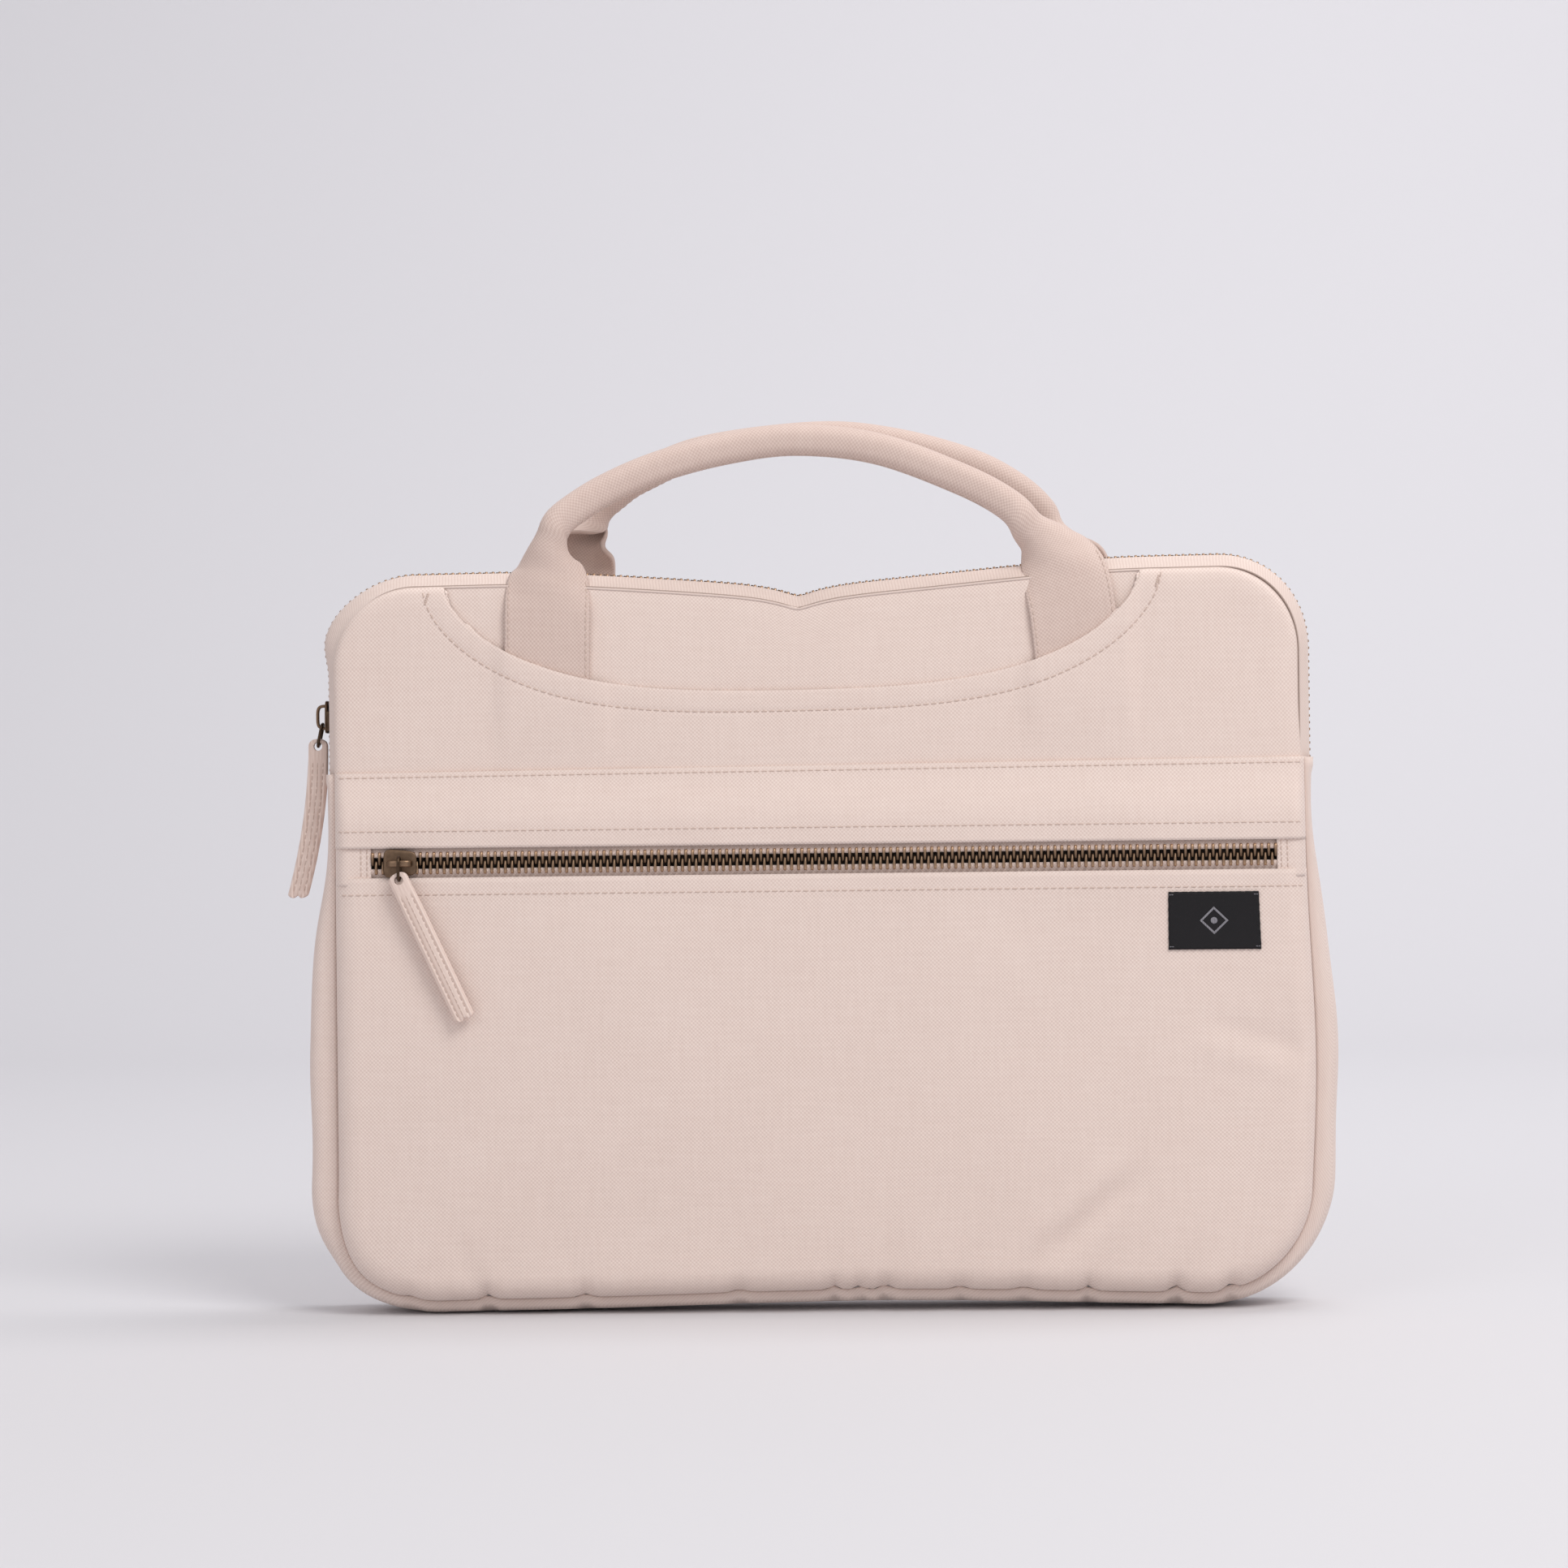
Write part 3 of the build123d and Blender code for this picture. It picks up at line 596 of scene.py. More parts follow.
yoke = {
    "past": 8,                # how far it runs on beyond the scoop's ends
    "low": 234.0,
    "rise": 0.8,
    "tilt": 1.2,
    "tiltSpan": (245, 290),
    "thick": 0.8,
    "patternAt": 400,
}


def yokePiece(name, side, node):
    reach = scoop["halfWidth"] + yoke["past"]
    xs = columnsTo(scoop["x"] - reach, scoop["x"] + reach, 90)
    x, z = panelGrid(xs, yoke["low"], outlineHigh(xs), 34, False, True)
    rise = yoke["rise"] * roundRise(edgeDistance(x, z), body["rimRound"])
    depth = body["seam"] + 0.3 + rise - yoke["tilt"] * smooth(*yoke["tiltSpan"], z)
    return clothPiece(name, settle(stacked(x, side * depth, z)), canvas, "canvas", yoke["thick"], node,
                      uv=stacked(x, z + yoke["patternAt"]), flip=side > 0)


upperPanel = scoopedPanel("upperPanel", frontSide, flapLow, "front_upper_panel")
backPanel = scoopedPanel("rearPanel", backSide, outlineLow, "back_panel")
frontYoke = yokePiece("frontYoke", frontSide, "front_yoke")
rearYoke = yokePiece("rearYoke", backSide, "back_yoke")
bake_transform(upperPanel)
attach(backPanel, "shell")
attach(frontYoke, "front_flap")
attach(rearYoke, "shell")
print("bag: upper and rear panels made")

# The pocket on the front.

pocket = {
    "face": 26.6,             # depth of the cloth's outer face from the middle plane
    "rimRound": 10.0,
    "edge": 171.1,            # upper edge of the pocket's panel
    "bandLow": 182.6,
    "bandHigh": 213.2,
    "bandBend": 190.0,
    "bandTop": 21.6,          # depth of the band's upper edge
    "bandThick": 1.4,
    "zip": 176.8,
    "zipLeft": -174.0,
    "zipRight": 177.0,
    "endLow": 168.0,          # the two cloth ends of the zip
    "endHigh": 186.0,
    "endSink": 0.9,
    "tape": 24.9,             # depth of the tape beside its teeth, and of the teeth
    "teeth": 25.1,
    "tapeNear": 2.2,
    "tapeFar": 13.0,
    "tapeHalf": 181.0,
}


# A soft valley along a straight crease between two points, deepest in its middle.
def crease(x, z, start, end, depth, width):
    alongX, alongZ = end[0] - start[0], end[1] - start[1]
    length = math.hypot(alongX, alongZ)
    t = ((x - start[0]) * alongX + (z - start[1]) * alongZ) / length ** 2
    off = ((x - start[0]) * alongZ - (z - start[1]) * alongX) / length
    fade = smooth(-0.25, 0.3, t) * (1 - smooth(0.7, 1.25, t))
    return depth * fade * (bell(off, 0, width) - 0.6 * bell(off, 1.9 * width, width))


# The pocket's panel: rounded at its rim, drawn in by the gathers, with a fold at the lower right, a
# fold and a hollow at the right, and slow swells all over.
def pocketDepth(x, z):
    rim = edgeDistance(x, z)
    face = (pocket["face"] - body["seam"]) * roundRise(rim, pocket["rimRound"])
    depth = body["seam"] + face - seamCrease(rim)
    inside = smooth(0, 12, rim)
    up = z - body["bottom"]
    for place, deep, wide, tall in gathers:
        lean = place * 0.0036 * up
        depth = depth - deep * bell(x, place + lean, wide) * np.exp(-np.maximum(up, 0) / tall)
    depth = depth - inside * crease(x, z, (121, 52), (88, 20), 1.5, 5.0)
    depth = depth - inside * crease(x, z, (150, 112), (186, 100), 0.8, 5.0)
    depth = depth - smooth(2, 10, rim) * 1.1 * bell(x, 178, 9) * bell(z, 106, 14)
    wave = np.sin(x / 23 + 1.3 * np.sin(z / 31)) * np.sin(z / 19 + 0.8)
    slow = np.sin(x / 61 - 0.4) * np.cos(z / 47 + 0.5)
    swell = 0.28 * wave + 0.6 * slow + 0.9 * np.sin(math.pi * np.clip(up / 165, 0, 1)) - 0.5
    return depth + smooth(3, 40, rim) * swell * (1 - smooth(150, 170, z))


def bandDepth(x, z):
    rim = edgeDistance(x, np.minimum(z, 150.0))
    back = (pocket["face"] - pocket["bandTop"]) * smooth(pocket["bandBend"], pocket["bandHigh"] + 2, z)
    face = pocket["face"] - back - body["seam"]
    ripple = 0.12 * np.sin(x / 9.0) * np.sin(z / 7.0)
    return body["seam"] + face * roundRise(rim, 6.0) + ripple - seamCrease(rim)


def endDepth(x, z):
    return bandDepth(x, z) - pocket["endSink"]


def tapeDepth(x, z):
    return pocket["tape"] - smooth(3, 5.5, np.abs(z - pocket["zip"]))


def wallDepth(x, z):
    return body["seam"] + 0.4 * roundRise(edgeDistance(x, z), 4)


def facePoints(x, z, depth):
    return drape(stacked(x, -depth(x, z), z))


def shellFace(name, xs, low, high, rows, depth, node, thick=canvasThick, easeLow=False,
              material=canvas, slot="canvas", offset=-1.0):
    x, z = panelGrid(xs, low, high, rows, easeLow, False)
    piece = clothPiece(name, facePoints(x, z, depth), material, slot, thick, node, offset=offset,
                       uv=stacked(x, z))
    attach(piece, "shell")
    return piece


half = body["halfWidth"]
fullColumns = columnsTo(-half, half, 200)
pocketPanel = shellFace("pocketPanel", fullColumns, outlineLow(fullColumns), pocket["edge"], 120,
                        pocketDepth, "pocket_front_panel", easeLow=True)
pocketBand = shellFace("pocketBand", columnsTo(-half - 0.8, half + 0.8, 150), pocket["bandLow"],
                       pocket["bandHigh"], 26, bandDepth, "pocket_band", pocket["bandThick"])
tabLeft = shellFace("zipEndLeft", columnsTo(-half, pocket["zipLeft"], 30, True, False), pocket["endLow"],
                    pocket["endHigh"], 14, endDepth, "pocket_end_tab_left", 0.9)
tabRight = shellFace("zipEndRight", columnsTo(pocket["zipRight"], half, 30, False, True), pocket["endLow"],
                     pocket["endHigh"], 14, endDepth, "pocket_end_tab_right", 0.9)
xs = np.linspace(-pocket["tapeHalf"], pocket["tapeHalf"], 60)
for name, low, high in (("Upper", pocket["tapeNear"], pocket["tapeFar"]),
                        ("Lower", -pocket["tapeFar"], -pocket["tapeNear"])):
    shellFace("pocketTape" + name, xs, pocket["zip"] + low, pocket["zip"] + high, 12, tapeDepth,
              "pocket_zip_tape_" + name.lower(), 0.7, material=zipTape, slot="zip_tape", offset=0.0)
pocketWall = shellFace("pocketWall", fullColumns * 0.99, outlineLow(fullColumns) + 2, 212.0, 60, wallDepth,
                       "pocket_back_wall", 0.4, easeLow=True, material=liningCloth, slot="lining")
print("bag: pocket made")

# The gusset round the base and sides.

gusset = {
    "bulge": 9.5,
    "waist": 3.5,
    "bulgeTop": 130.0,
    "waistLow": 200.0,
    "baseCorner": 50.0,
    "puff": 4.0,
    "hem": 0.7,
    "hemTall": 6.0,
    "padInset": 1.4,
    "padThick": 4.2,
    "liningInset": 6.6,
    "liningHalf": 13.2,
    "lining": 0.4,
}


# Points along the body's U, from the left fold down round the base and up to the right fold: straight
# side, arc, base, arc, side. The share goes from the seam, 0, to the gusset's fullest line, 1.
def sackLine(share, inset, top, count):
    t = np.linspace(-1, 1, count)
    corner = body["lowCorner"] + (gusset["baseCorner"] - body["lowCorner"]) * share - inset
    bottom = body["bottom"] * (1 - share) + inset
    full = half + gusset["bulge"] * share - inset
    s = np.abs(t)
    flatEnd, arcEnd = 0.42, 0.60
    base = (full - corner) * np.minimum(s / flatEnd, 1)
    angle = math.pi / 2 * np.clip((s - flatEnd) / (arcEnd - flatEnd), 0, 1)
    z = bottom + corner * (1 - np.cos(angle))
    rise = np.clip((s - arcEnd) / (1 - arcEnd), 0, 1)
    z = z + (top - bottom - corner) * rise
    x = base + corner * np.sin(angle)
    narrow = smooth(gusset["bulgeTop"] - 15, gusset["waistLow"], z)
    thin = (gusset["bulge"] - gusset["waist"]) * share * narrow
    return stacked(np.sign(t) * (x - thin), z)


# The gusset swells between its two seams as a squarish round; where it stands on the floor it is flat.
def gussetGrid(inset, count, across, top):
    s = np.sin(np.linspace(-math.pi / 2, math.pi / 2, across))
    share = np.sqrt(1 - np.abs(s) ** gusset["puff"])
    seamLine = sackLine(0.0, inset, top, count)
    fullLine = sackLine(1.0, inset, top, count)
    flat = seamLine[:, None] + (fullLine - seamLine)[:, None] * share[None, :, None]
    z = flat[..., 1]
    ripple = 0.35 * np.sin(z / 9 + flat[..., 0] / 13) * share[None, :] * smooth(20, 60, z)
    hem = gusset["hem"] * smooth(top - gusset["hemTall"], top - gusset["hemTall"] + 0.8, z) * share[None, :]
    x = flat[..., 0] + np.sign(flat[..., 0]) * (ripple + hem)
    edge = (body["seam"] + 0.1 - inset * 0.2) * s
    tucked = edge - np.sign(s) * seamCrease(14 * (1 - np.abs(s)))
    return drape(stacked(x, tucked[None, :], z))


gussetPoints = gussetGrid(0.0, 260, 33, body["fold"] + 0.5)
gussetPoints[..., 2] = np.maximum(gussetPoints[..., 2], 0.0)
gussetPiece = clothPiece("gussetCanvas", gussetPoints, canvas, "canvas", canvasThick, "gusset_panel")
gussetPad = clothPiece("gussetPad", gussetGrid(gusset["padInset"], 160, 17, body["fold"] - 1), foam, "foam",
                       gusset["padThick"], "gusset_foam")
inner = sackLine(0.0, gusset["liningInset"], body["fold"] - 1.5, 160)
across = np.linspace(-gusset["liningHalf"], gusset["liningHalf"], 12)
gussetLining = clothPiece("gussetLining", drape(stacked(inner[:, None, 0], across, inner[:, None, 1])),
                          liningCloth, "lining", gusset["lining"], "gusset_lining")
for piece in (gussetPiece, gussetPad, gussetLining):
    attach(piece, "shell")
print("bag: gusset made")

# The long zip over the top.

zipLong = {"tapeHalf": 191.5, "tapeTop": 286.9, "tapeCorner": 34.5, "start": 206.0, "pitch": 2.65, "rim": 0.6}


# Points along the zip's arch, from the left fold up over the top and down to the right fold.
def archLine(halfWidth, top, corner, start, count):
    sides = top - corner - start
    flat = 2 * (halfWidth - corner)
    turn = corner * math.pi / 2
    total = 2 * sides + flat + 2 * turn
    d = np.linspace(0, total, count)
    left = np.clip((d - sides) / corner, 0, math.pi / 2)
    over = np.clip(d - sides - turn, 0, flat)
    right = np.clip((d - sides - turn - flat) / corner, 0, math.pi / 2)
    down = np.clip(d - sides - 2 * turn - flat, 0, sides)
    x = -halfWidth + corner * (1 - np.cos(left)) + over + corner * np.sin(right)
    z = start + np.clip(d, 0, sides) + corner * np.sin(left) - corner * (1 - np.cos(right)) - down
    return stacked(x, z)


# The arch in from the panels' rim by an inset, and the one that the teeth follow.
def rimArch(inset, start, count):
    return archLine(half - inset, body["top"] - inset, body["highCorner"] - inset, start, count)


def zipArch(start, count):
    return archLine(zipLong["tapeHalf"], zipLong["tapeTop"], zipLong["tapeCorner"], start, count)


# The tape leaves the panel's rim, rounds over outwards and ends at the teeth.
def archTape(name, side, node):
    s = np.linspace(0, 1, 14)
    out = smooth(0, 0.55, s)
    y = side * (body["seam"] - 0.2 - (body["seam"] - 2.0) * s)
    rimLine = rimArch(zipLong["rim"], zipLong["start"], 300)
    flat = rimLine[:, None] + (zipArch(zipLong["start"], 300) - rimLine)[:, None] * out[None, :, None]
    points = settle(stacked(flat[..., 0], y, flat[..., 1]), 1 - out)
    return clothPiece(name, points, zipTape, "zip_tape", 0.8, node, offset=0.0, flip=side < 0)


# One tooth: a rounded bar across the chain, its head narrower. Axes: along the chain, away from its
# middle, and out of the cloth.
toothSections = [(-0.9, 0.34, 0.75), (-0.5, 0.52, 1.25), (3.5, 0.60, 1.40), (4.3, 0.46, 1.0)]
corners = [(-1, -0.6), (-0.7, -1), (0.7, -1), (1, -0.6), (1, 0.6), (0.7, 1), (-0.7, 1), (-1, 0.6)]
toothShape = np.array([(a * w, v, b * h) for v, w, h in toothSections for a, b in corners])
toothFaces = ringFaces(len(toothSections), len(corners))
# Each tooth pales to gold towards its outer end: painted highlight, over an even level of real rubbing.
toothWearAndHighlight = 0.12 + 0.75 * np.clip((toothShape[:, 1] - 2.0) / 1.8, 0, 1)


def teethPiece(name, flipped, origins, axes, node):
    piece = scatter(name, toothShape, toothFaces[:, ::-1] if flipped else toothFaces, origins, axes,
                    brass, toothWearAndHighlight)
    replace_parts(piece, node)
    return piece


def archTeeth(name, side, node):
    line = zipArch(body["fold"] - 4, 1200)
    flat = settle(stacked(line[:, 0], 0.0, line[:, 1]), 0.0)[:, [0, 2]]
    lengths = runLengths(flat)
    shift = zipLong["pitch"] * (0.25 if side < 0 else 0.75)
    at = np.arange(shift, lengths[-1] - 1, zipLong["pitch"])
    tangent = unit(np.gradient(flat, axis=0))
    x, z, alongX, alongZ = (np.interp(at, lengths, column) for column in (*flat.T, *tangent.T))
    axes = np.stack([stacked(alongX, 0.0, alongZ), stacked(0 * x, float(side), 0.0),
                     stacked(-alongZ, 0.0, alongX)], axis=1)
    return teethPiece(name, side > 0, stacked(x, 0.0, z), axes, node)


frontTape = archTape("frontTape", frontSide, "main_zip_tape_front")
rearTape = archTape("rearTape", backSide, "main_zip_tape_back")
frontTeeth = archTeeth("frontTeeth", frontSide, "main_zip_teeth_front")
rearTeeth = archTeeth("rearTeeth", backSide, "main_zip_teeth_back")
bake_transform(frontTape)
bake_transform(frontTeeth)
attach(rearTape, "shell")
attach(rearTeeth, "shell")


def pocketTeeth(name, up, node):
    shift = zipLong["pitch"] * (0.25 if up > 0 else 0.75)
    at = np.arange(pocket["zipLeft"] + shift, pocket["zipRight"], zipLong["pitch"])
    axes = np.broadcast_to(np.array([[1.0, 0, 0], [0, 0, up], [0, -1.0, 0]]), (len(at), 3, 3))
    piece = teethPiece(name, up > 0, drape(stacked(at, -pocket["teeth"], pocket["zip"])), axes, node)
    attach(piece, "shell")


pocketTeeth("pocketTeethUpper", 1, "pocket_zip_teeth_upper")
pocketTeeth("pocketTeethLower", -1, "pocket_zip_teeth_lower")
print("bag: zips made")

# Foam, lining and binding inside.


# Depth of the inner face, thickness and inset from the seam.
foamSlab = {"near": 13.7, "thick": 3.7, "inset": 6.0, "material": foam, "slot": "foam"}
lowerSlab = {**foamSlab, "thick": 4.6}
liningSlab = {"near": 13.0, "thick": 0.5, "inset": 6.6, "material": liningCloth, "slot": "lining"}


# A slab between two heights; without them it follows the panel's outline.
def innerSlab(name, side, slab, nodes, low=None, high=None):
    wide = half - slab["inset"]
    xs = columnsTo(-wide, wide, 90)
    bottom = outlineLow(xs * half / wide) + slab["inset"] if low is None else low
    top = outlineHigh(xs * half / wide) - slab["inset"] if high is None else high
    x, z = panelGrid(xs, bottom, top, 50, low is None, high is None)
    points = drape(stacked(x, side * (slab["near"] + slab["thick"]), z))
    return clothPiece(name, points, slab["material"], slab["slot"], slab["thick"], *nodes,
                      uv=stacked(x, z), flip=side > 0)


rearFoam = innerSlab("rearFoam", backSide, foamSlab, ["back_foam"])
rearLining = innerSlab("rearLining", backSide, liningSlab, ["back_lining"])
flapFoam = innerSlab("flapFoam", frontSide, foamSlab, ["front_foam_upper"], low=body["fold"] + 1)
frontLining = innerSlab("frontLining", frontSide, liningSlab, ["front_lining_upper", "front_lining_lower"])
lowerFoam = innerSlab("lowerFoam", frontSide, lowerSlab, ["front_foam_lower"], high=body["fold"] - 0.5)
for piece in (lowerFoam, rearFoam, rearLining):
    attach(piece, "shell")
for piece in (flapFoam, frontLining):
    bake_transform(piece)


# Binding tape wraps the raw edge: from the seam, round over the foam's edge and onto the lining.
def archBinding(name, side, node):
    s = np.linspace(0, 1, 12)
    y = side * (17.6 - 5.2 * np.sin(math.pi / 2 * np.clip(s * 1.5, 0, 1)))
    lines = np.stack([rimArch(inset, body["fold"] + 1, 240) for inset in 1.6 + 7.0 * s ** 1.4], axis=1)
    return clothPiece(name, drape(stacked(lines[..., 0], y, lines[..., 1])), bindingCloth, "binding", 0.5,
                      node, offset=0.0, flip=side < 0)


def sackBinding(name, side, node):
    edges = np.stack([sackLine(0.0, i, body["fold"] - 1, 200) for i in (6.6, 7.2, 8.6)], axis=1)
    y = side * np.array([12.6, 12.2, 12.2])
    piece = clothPiece(name, drape(stacked(edges[..., 0], y, edges[..., 1])), bindingCloth, "binding", 0.6,
                       node, offset=0.0, flip=side > 0)
    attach(piece, "shell")


flapBinding = archBinding("flapBinding", frontSide, "front_binding_upper")
rearBinding = archBinding("rearBinding", backSide, "back_binding")
sackBinding("lowerBinding", frontSide, "front_binding_lower")
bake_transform(flapBinding)
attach(rearBinding, "shell")
print("bag: inside made")

# Handles.

# Each handle is one strap, flat where it is sewn down and rolled into a tube between; its points are
# across, depth and height of the strap's middle. The last value is how far it is rolled there.
frontRoute = [
    (-105, 20.2, 240, 0), (-105, 20.3, 254, 0), (-104.8, 20.5, 268, 0.02), (-104.6, 20.6, 280, 0.2),
    (-104.4, 20.4, 288, 0.36), (-104.8, 19.9, 294, 0.5), (-104.2, 19.2, 300, 0.68), (-102.2, 18, 307, 0.92),
    (-97, 16.4, 312.8, 1), (-82, 13.6, 322.4, 1), (-60.5, 10.5, 331.6, 1), (-34, 8, 338.4, 1),
    (-7, 6.8, 341.4, 1), (25, 8, 337.4, 1), (58, 11.5, 324.6, 1), (77, 14.8, 313.8, 0.9),
    (87, 17.2, 304.4, 0.58), (92, 19, 296.4, 0.42), (96, 20.4, 285, 0.27), (99, 20.6, 273, 0.1),
    (101, 20.3, 257, 0), (102.5, 20.2, 242, 0)]
rearRoute = [
    (-99, 20.2, 240, 0), (-99, 20.3, 254, 0), (-98.4, 20.5, 268, 0), (-97.6, 20.6, 282, 0.05),
    (-96.8, 20.4, 295, 0.2), (-94.8, 19.3, 305, 0.48), (-89.6, 17.2, 314.6, 0.82), (-81, 14.9, 322, 1),
    (-70, 12.8, 329, 1), (-44, 9, 338.8, 1), (0, 6.8, 343.6, 1), (30, 8, 341, 1), (60, 11, 333, 1),
    (78.5, 14, 323.6, 1), (89.5, 16.6, 314, 0.95), (94.2, 18.4, 305.5, 0.7), (97.2, 19.6, 297.5, 0.48),
    (99.6, 20.4, 288, 0.28), (102, 20.6, 272, 0.05), (104.6, 20.3, 256, 0), (105, 20.2, 242, 0)]
strap = {
    "width": 33.0,
    "thick": 1.8,
    "steps": 220,
    "across": 36,
    "overlap": 1.1,           # turns that a fully rolled strap makes
    "lap": 1.1,               # how far its upper edge stands off the one below
    "turnSpan": (286, 318),
    "freeSpan": (286, 308),   # heights over which it comes free of the bag's own lean
    "wrinkle": 0.3,
    "core": 3.5,
}


# A smooth line through a few points, at even steps: cubic spans whose slopes follow the neighbours.
def smoothLine(points, count):
    points = np.array(points, float)
    padded = np.concatenate([2 * points[:1] - points[1:2], points, 2 * points[-1:] - points[-2:-1]])
    t = np.linspace(0, len(points) - 1, count * 4)
    i = np.minimum(t.astype(int), len(points) - 2)
    f = (t - i)[:, None]
    a, b, c, d = (padded[i + k] for k in range(4))
    square, cube = 2 * a - 5 * b + 4 * c - d, 3 * b - a - 3 * c + d
    dense = 0.5 * (2 * b + (c - a) * f + square * f ** 2 + cube * f ** 3)
    length = runLengths(dense[:, :3])
    even = np.linspace(0, length[-1], count)
    return np.stack([np.interp(even, length, column) for column in dense.T], axis=-1), length[-1]


# The strap's frames: its length, its width and its outer face, which turns from facing out of the
# bag at the tabs to facing up along the grip.
def strapFrames(route, side):
    line, length = smoothLine(route, strap["steps"])
    middle = line[:, :3] * np.array([1.0, side, 1.0])
    along = unit(np.gradient(middle, axis=0))
    turn = smooth(0.15, 0.9, line[:, 3])[:, None] * smooth(*strap["turnSpan"], line[:, 2])[:, None]
    up = np.array([0.0, -side * 0.35, 1.0])
    facing = np.array([0.0, side, 0.0]) * (1 - turn) + up * turn
    facing = unit(facing - along * (facing * along).sum(axis=1, keepdims=True))
    return middle, np.cross(along, facing), facing, line[:, 3], length


# Each cross-cut is an arc of the strap's own width whose bend grows until one edge laps over the other.
def rolled(frames, a, lift=0.0):
    middle, wide, facing, roll, _ = frames
    bend = np.maximum(smooth(0, 1, roll) * strap["overlap"] * 2 * math.pi / strap["width"], 1e-5)[:, None]
    sideways = np.sin(bend * a) / bend
    sink = (1 - np.cos(bend * a)) / bend
    centre = 0.5 * strap["width"] / math.pi / strap["overlap"] * smooth(0.3, 1, roll)[:, None]
    lap = strap["lap"] * smooth(0.3, 0.44, a / strap["width"]) * smooth(0.6, 1, roll)[:, None]
    radial = np.cos(bend * a) * (lift + lap)
    lean = np.sin(bend * a) * (lift + lap)
    across = (sideways + lean)[..., None] * wide[:, None]
    out = (centre - sink + radial)[..., None] * facing[:, None]
    points = middle[:, None] + across + out
    share = 1 - smooth(*strap["freeSpan"], points[..., 2])
    moved = drape(points)
    return points + (moved - points) * share[..., None]


# A handle's cloth and stitches run from the tabs, sewn to the bag, to the grip; their placement is baked into
# their points.
def bendHandle(piece):
    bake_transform(piece)


def handlePiece(name, route, side, nodes):
    frames = strapFrames(route, side)
    _, _, facing, roll, length = frames
    a = strap["width"] * np.linspace(-0.5, 0.5, strap["across"])[None, :]
    points = rolled(frames, np.broadcast_to(a, (strap["steps"], strap["across"])))
    wrinkle = strap["wrinkle"] * np.sin(points[..., 2] / 2.3 + points[..., 0] / 5)
    wrinkle = wrinkle * (smooth(0.1, 0.4, roll) * (1 - smooth(0.6, 1, roll)))[:, None]
    points = points + wrinkle[..., None] * facing[:, None]
    uv = stacked(a, np.linspace(0, length, strap["steps"])[:, None])
    piece = clothPiece(name, points, shadedWebbing, "handle", strap["thick"], *nodes, offset=0.0, uv=uv, flip=True)
    bendHandle(piece)
    return piece, frames


def handleCore(name, frames, node, child):
    middle, wide, _, roll, _ = frames
    keep = roll > 0.97
    cord = barAlong(middle[keep], wide[keep], strap["core"], strap["core"], ease=1.0)
    piece = ringsPiece(name, [cord], np.eye(3), (0, 0, 0), coreCotton)
    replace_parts(piece, node)
    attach(piece, child)


frontHandle, frontFrames = handlePiece(
    "frontHandle", frontRoute, frontSide,
    ["front_handle_tab_left", "front_handle_tab_right", "front_handle_strap"])
rearHandle, rearFrames = handlePiece(
    "rearHandle", rearRoute, backSide,
    ["back_handle_tab_left", "back_handle_tab_right", "back_handle_strap"])
handleCore("frontCore", frontFrames, "front_handle_core", "front_handle")
handleCore("rearCore", rearFrames, "back_handle_core", "back_handle")
print("bag: handles made")

# Sliders, bridges and fabric pulls.


slider = {
    "length": 12.9,
    "width": 10.4,
    "plate": 1.2,
    "plateAt": 2.3,
    "flange": 0.8,
    "flangeTall": 1.7,
    "arch": 4.4,
    "archTall": 3.6,
    "archWide": 2.4,
    "archThick": 1.24,
}


# Two crowned plates with turned-in side flanges and a post, in the slider's frame: +X to the
# closed chain, +Z out of the bag.
def sliderPieces(name, origin, axes, bodyName):
    long, wide, at = slider["length"], slider["width"], slider["plateAt"]
    grids = [roundedBlock((long, wide, slider["plate"] + 0.1), (0, 0, at), 0.4, 36, 13, 0.12),
             roundedBlock((long, wide, slider["plate"]), (0, 0, -at), 0.4, 36, 13, 0.12)]
    for hand in (-1, 1):
        for face in (-1, 1):
            size = (long * 0.62, slider["flange"], slider["flangeTall"])
            place = (-1.6, hand * (wide / 2 - slider["flange"] / 2 - 0.05), face * 1.45)
            grids.append(roundedBlock(size, place, 0.4, 16, 9))
    grids.append(roundedBlock((3.0, 0.7, 4.0), (-long / 2 + 2.0, 0, 0), 0.4, 16, 9))
    angle = np.linspace(0, math.pi, 30)
    path = stacked(-slider["arch"] * signedPower(np.cos(angle), 0.55), 0.0,
                   2.6 + slider["archTall"] * signedPower(np.sin(angle), 0.5))
    path = np.concatenate([path[:1] - [0, 0, 0.5], path, path[-1:] - [0, 0, 0.5]])
    loop = barAlong(path, np.array([0.0, 1.0, 0.0]), slider["archWide"] / 2, slider["archThick"] / 2)
    for part, shapes, wearAndHighlight in (("Body", grids, 0.05), ("Bridge", [loop], 0.25)):
        piece = ringsPiece(name + part, shapes, axes, origin, brass, wearAndHighlight)
        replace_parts(piece, f"{bodyName}_{part.lower()}")
        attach(piece, bodyName)


def jointPlace(name):
    joints = frame["record"]["behaviour"]["joints"]
    return np.array(next(joint["pos_m"] for joint in joints if joint["name"] == name)) / mm


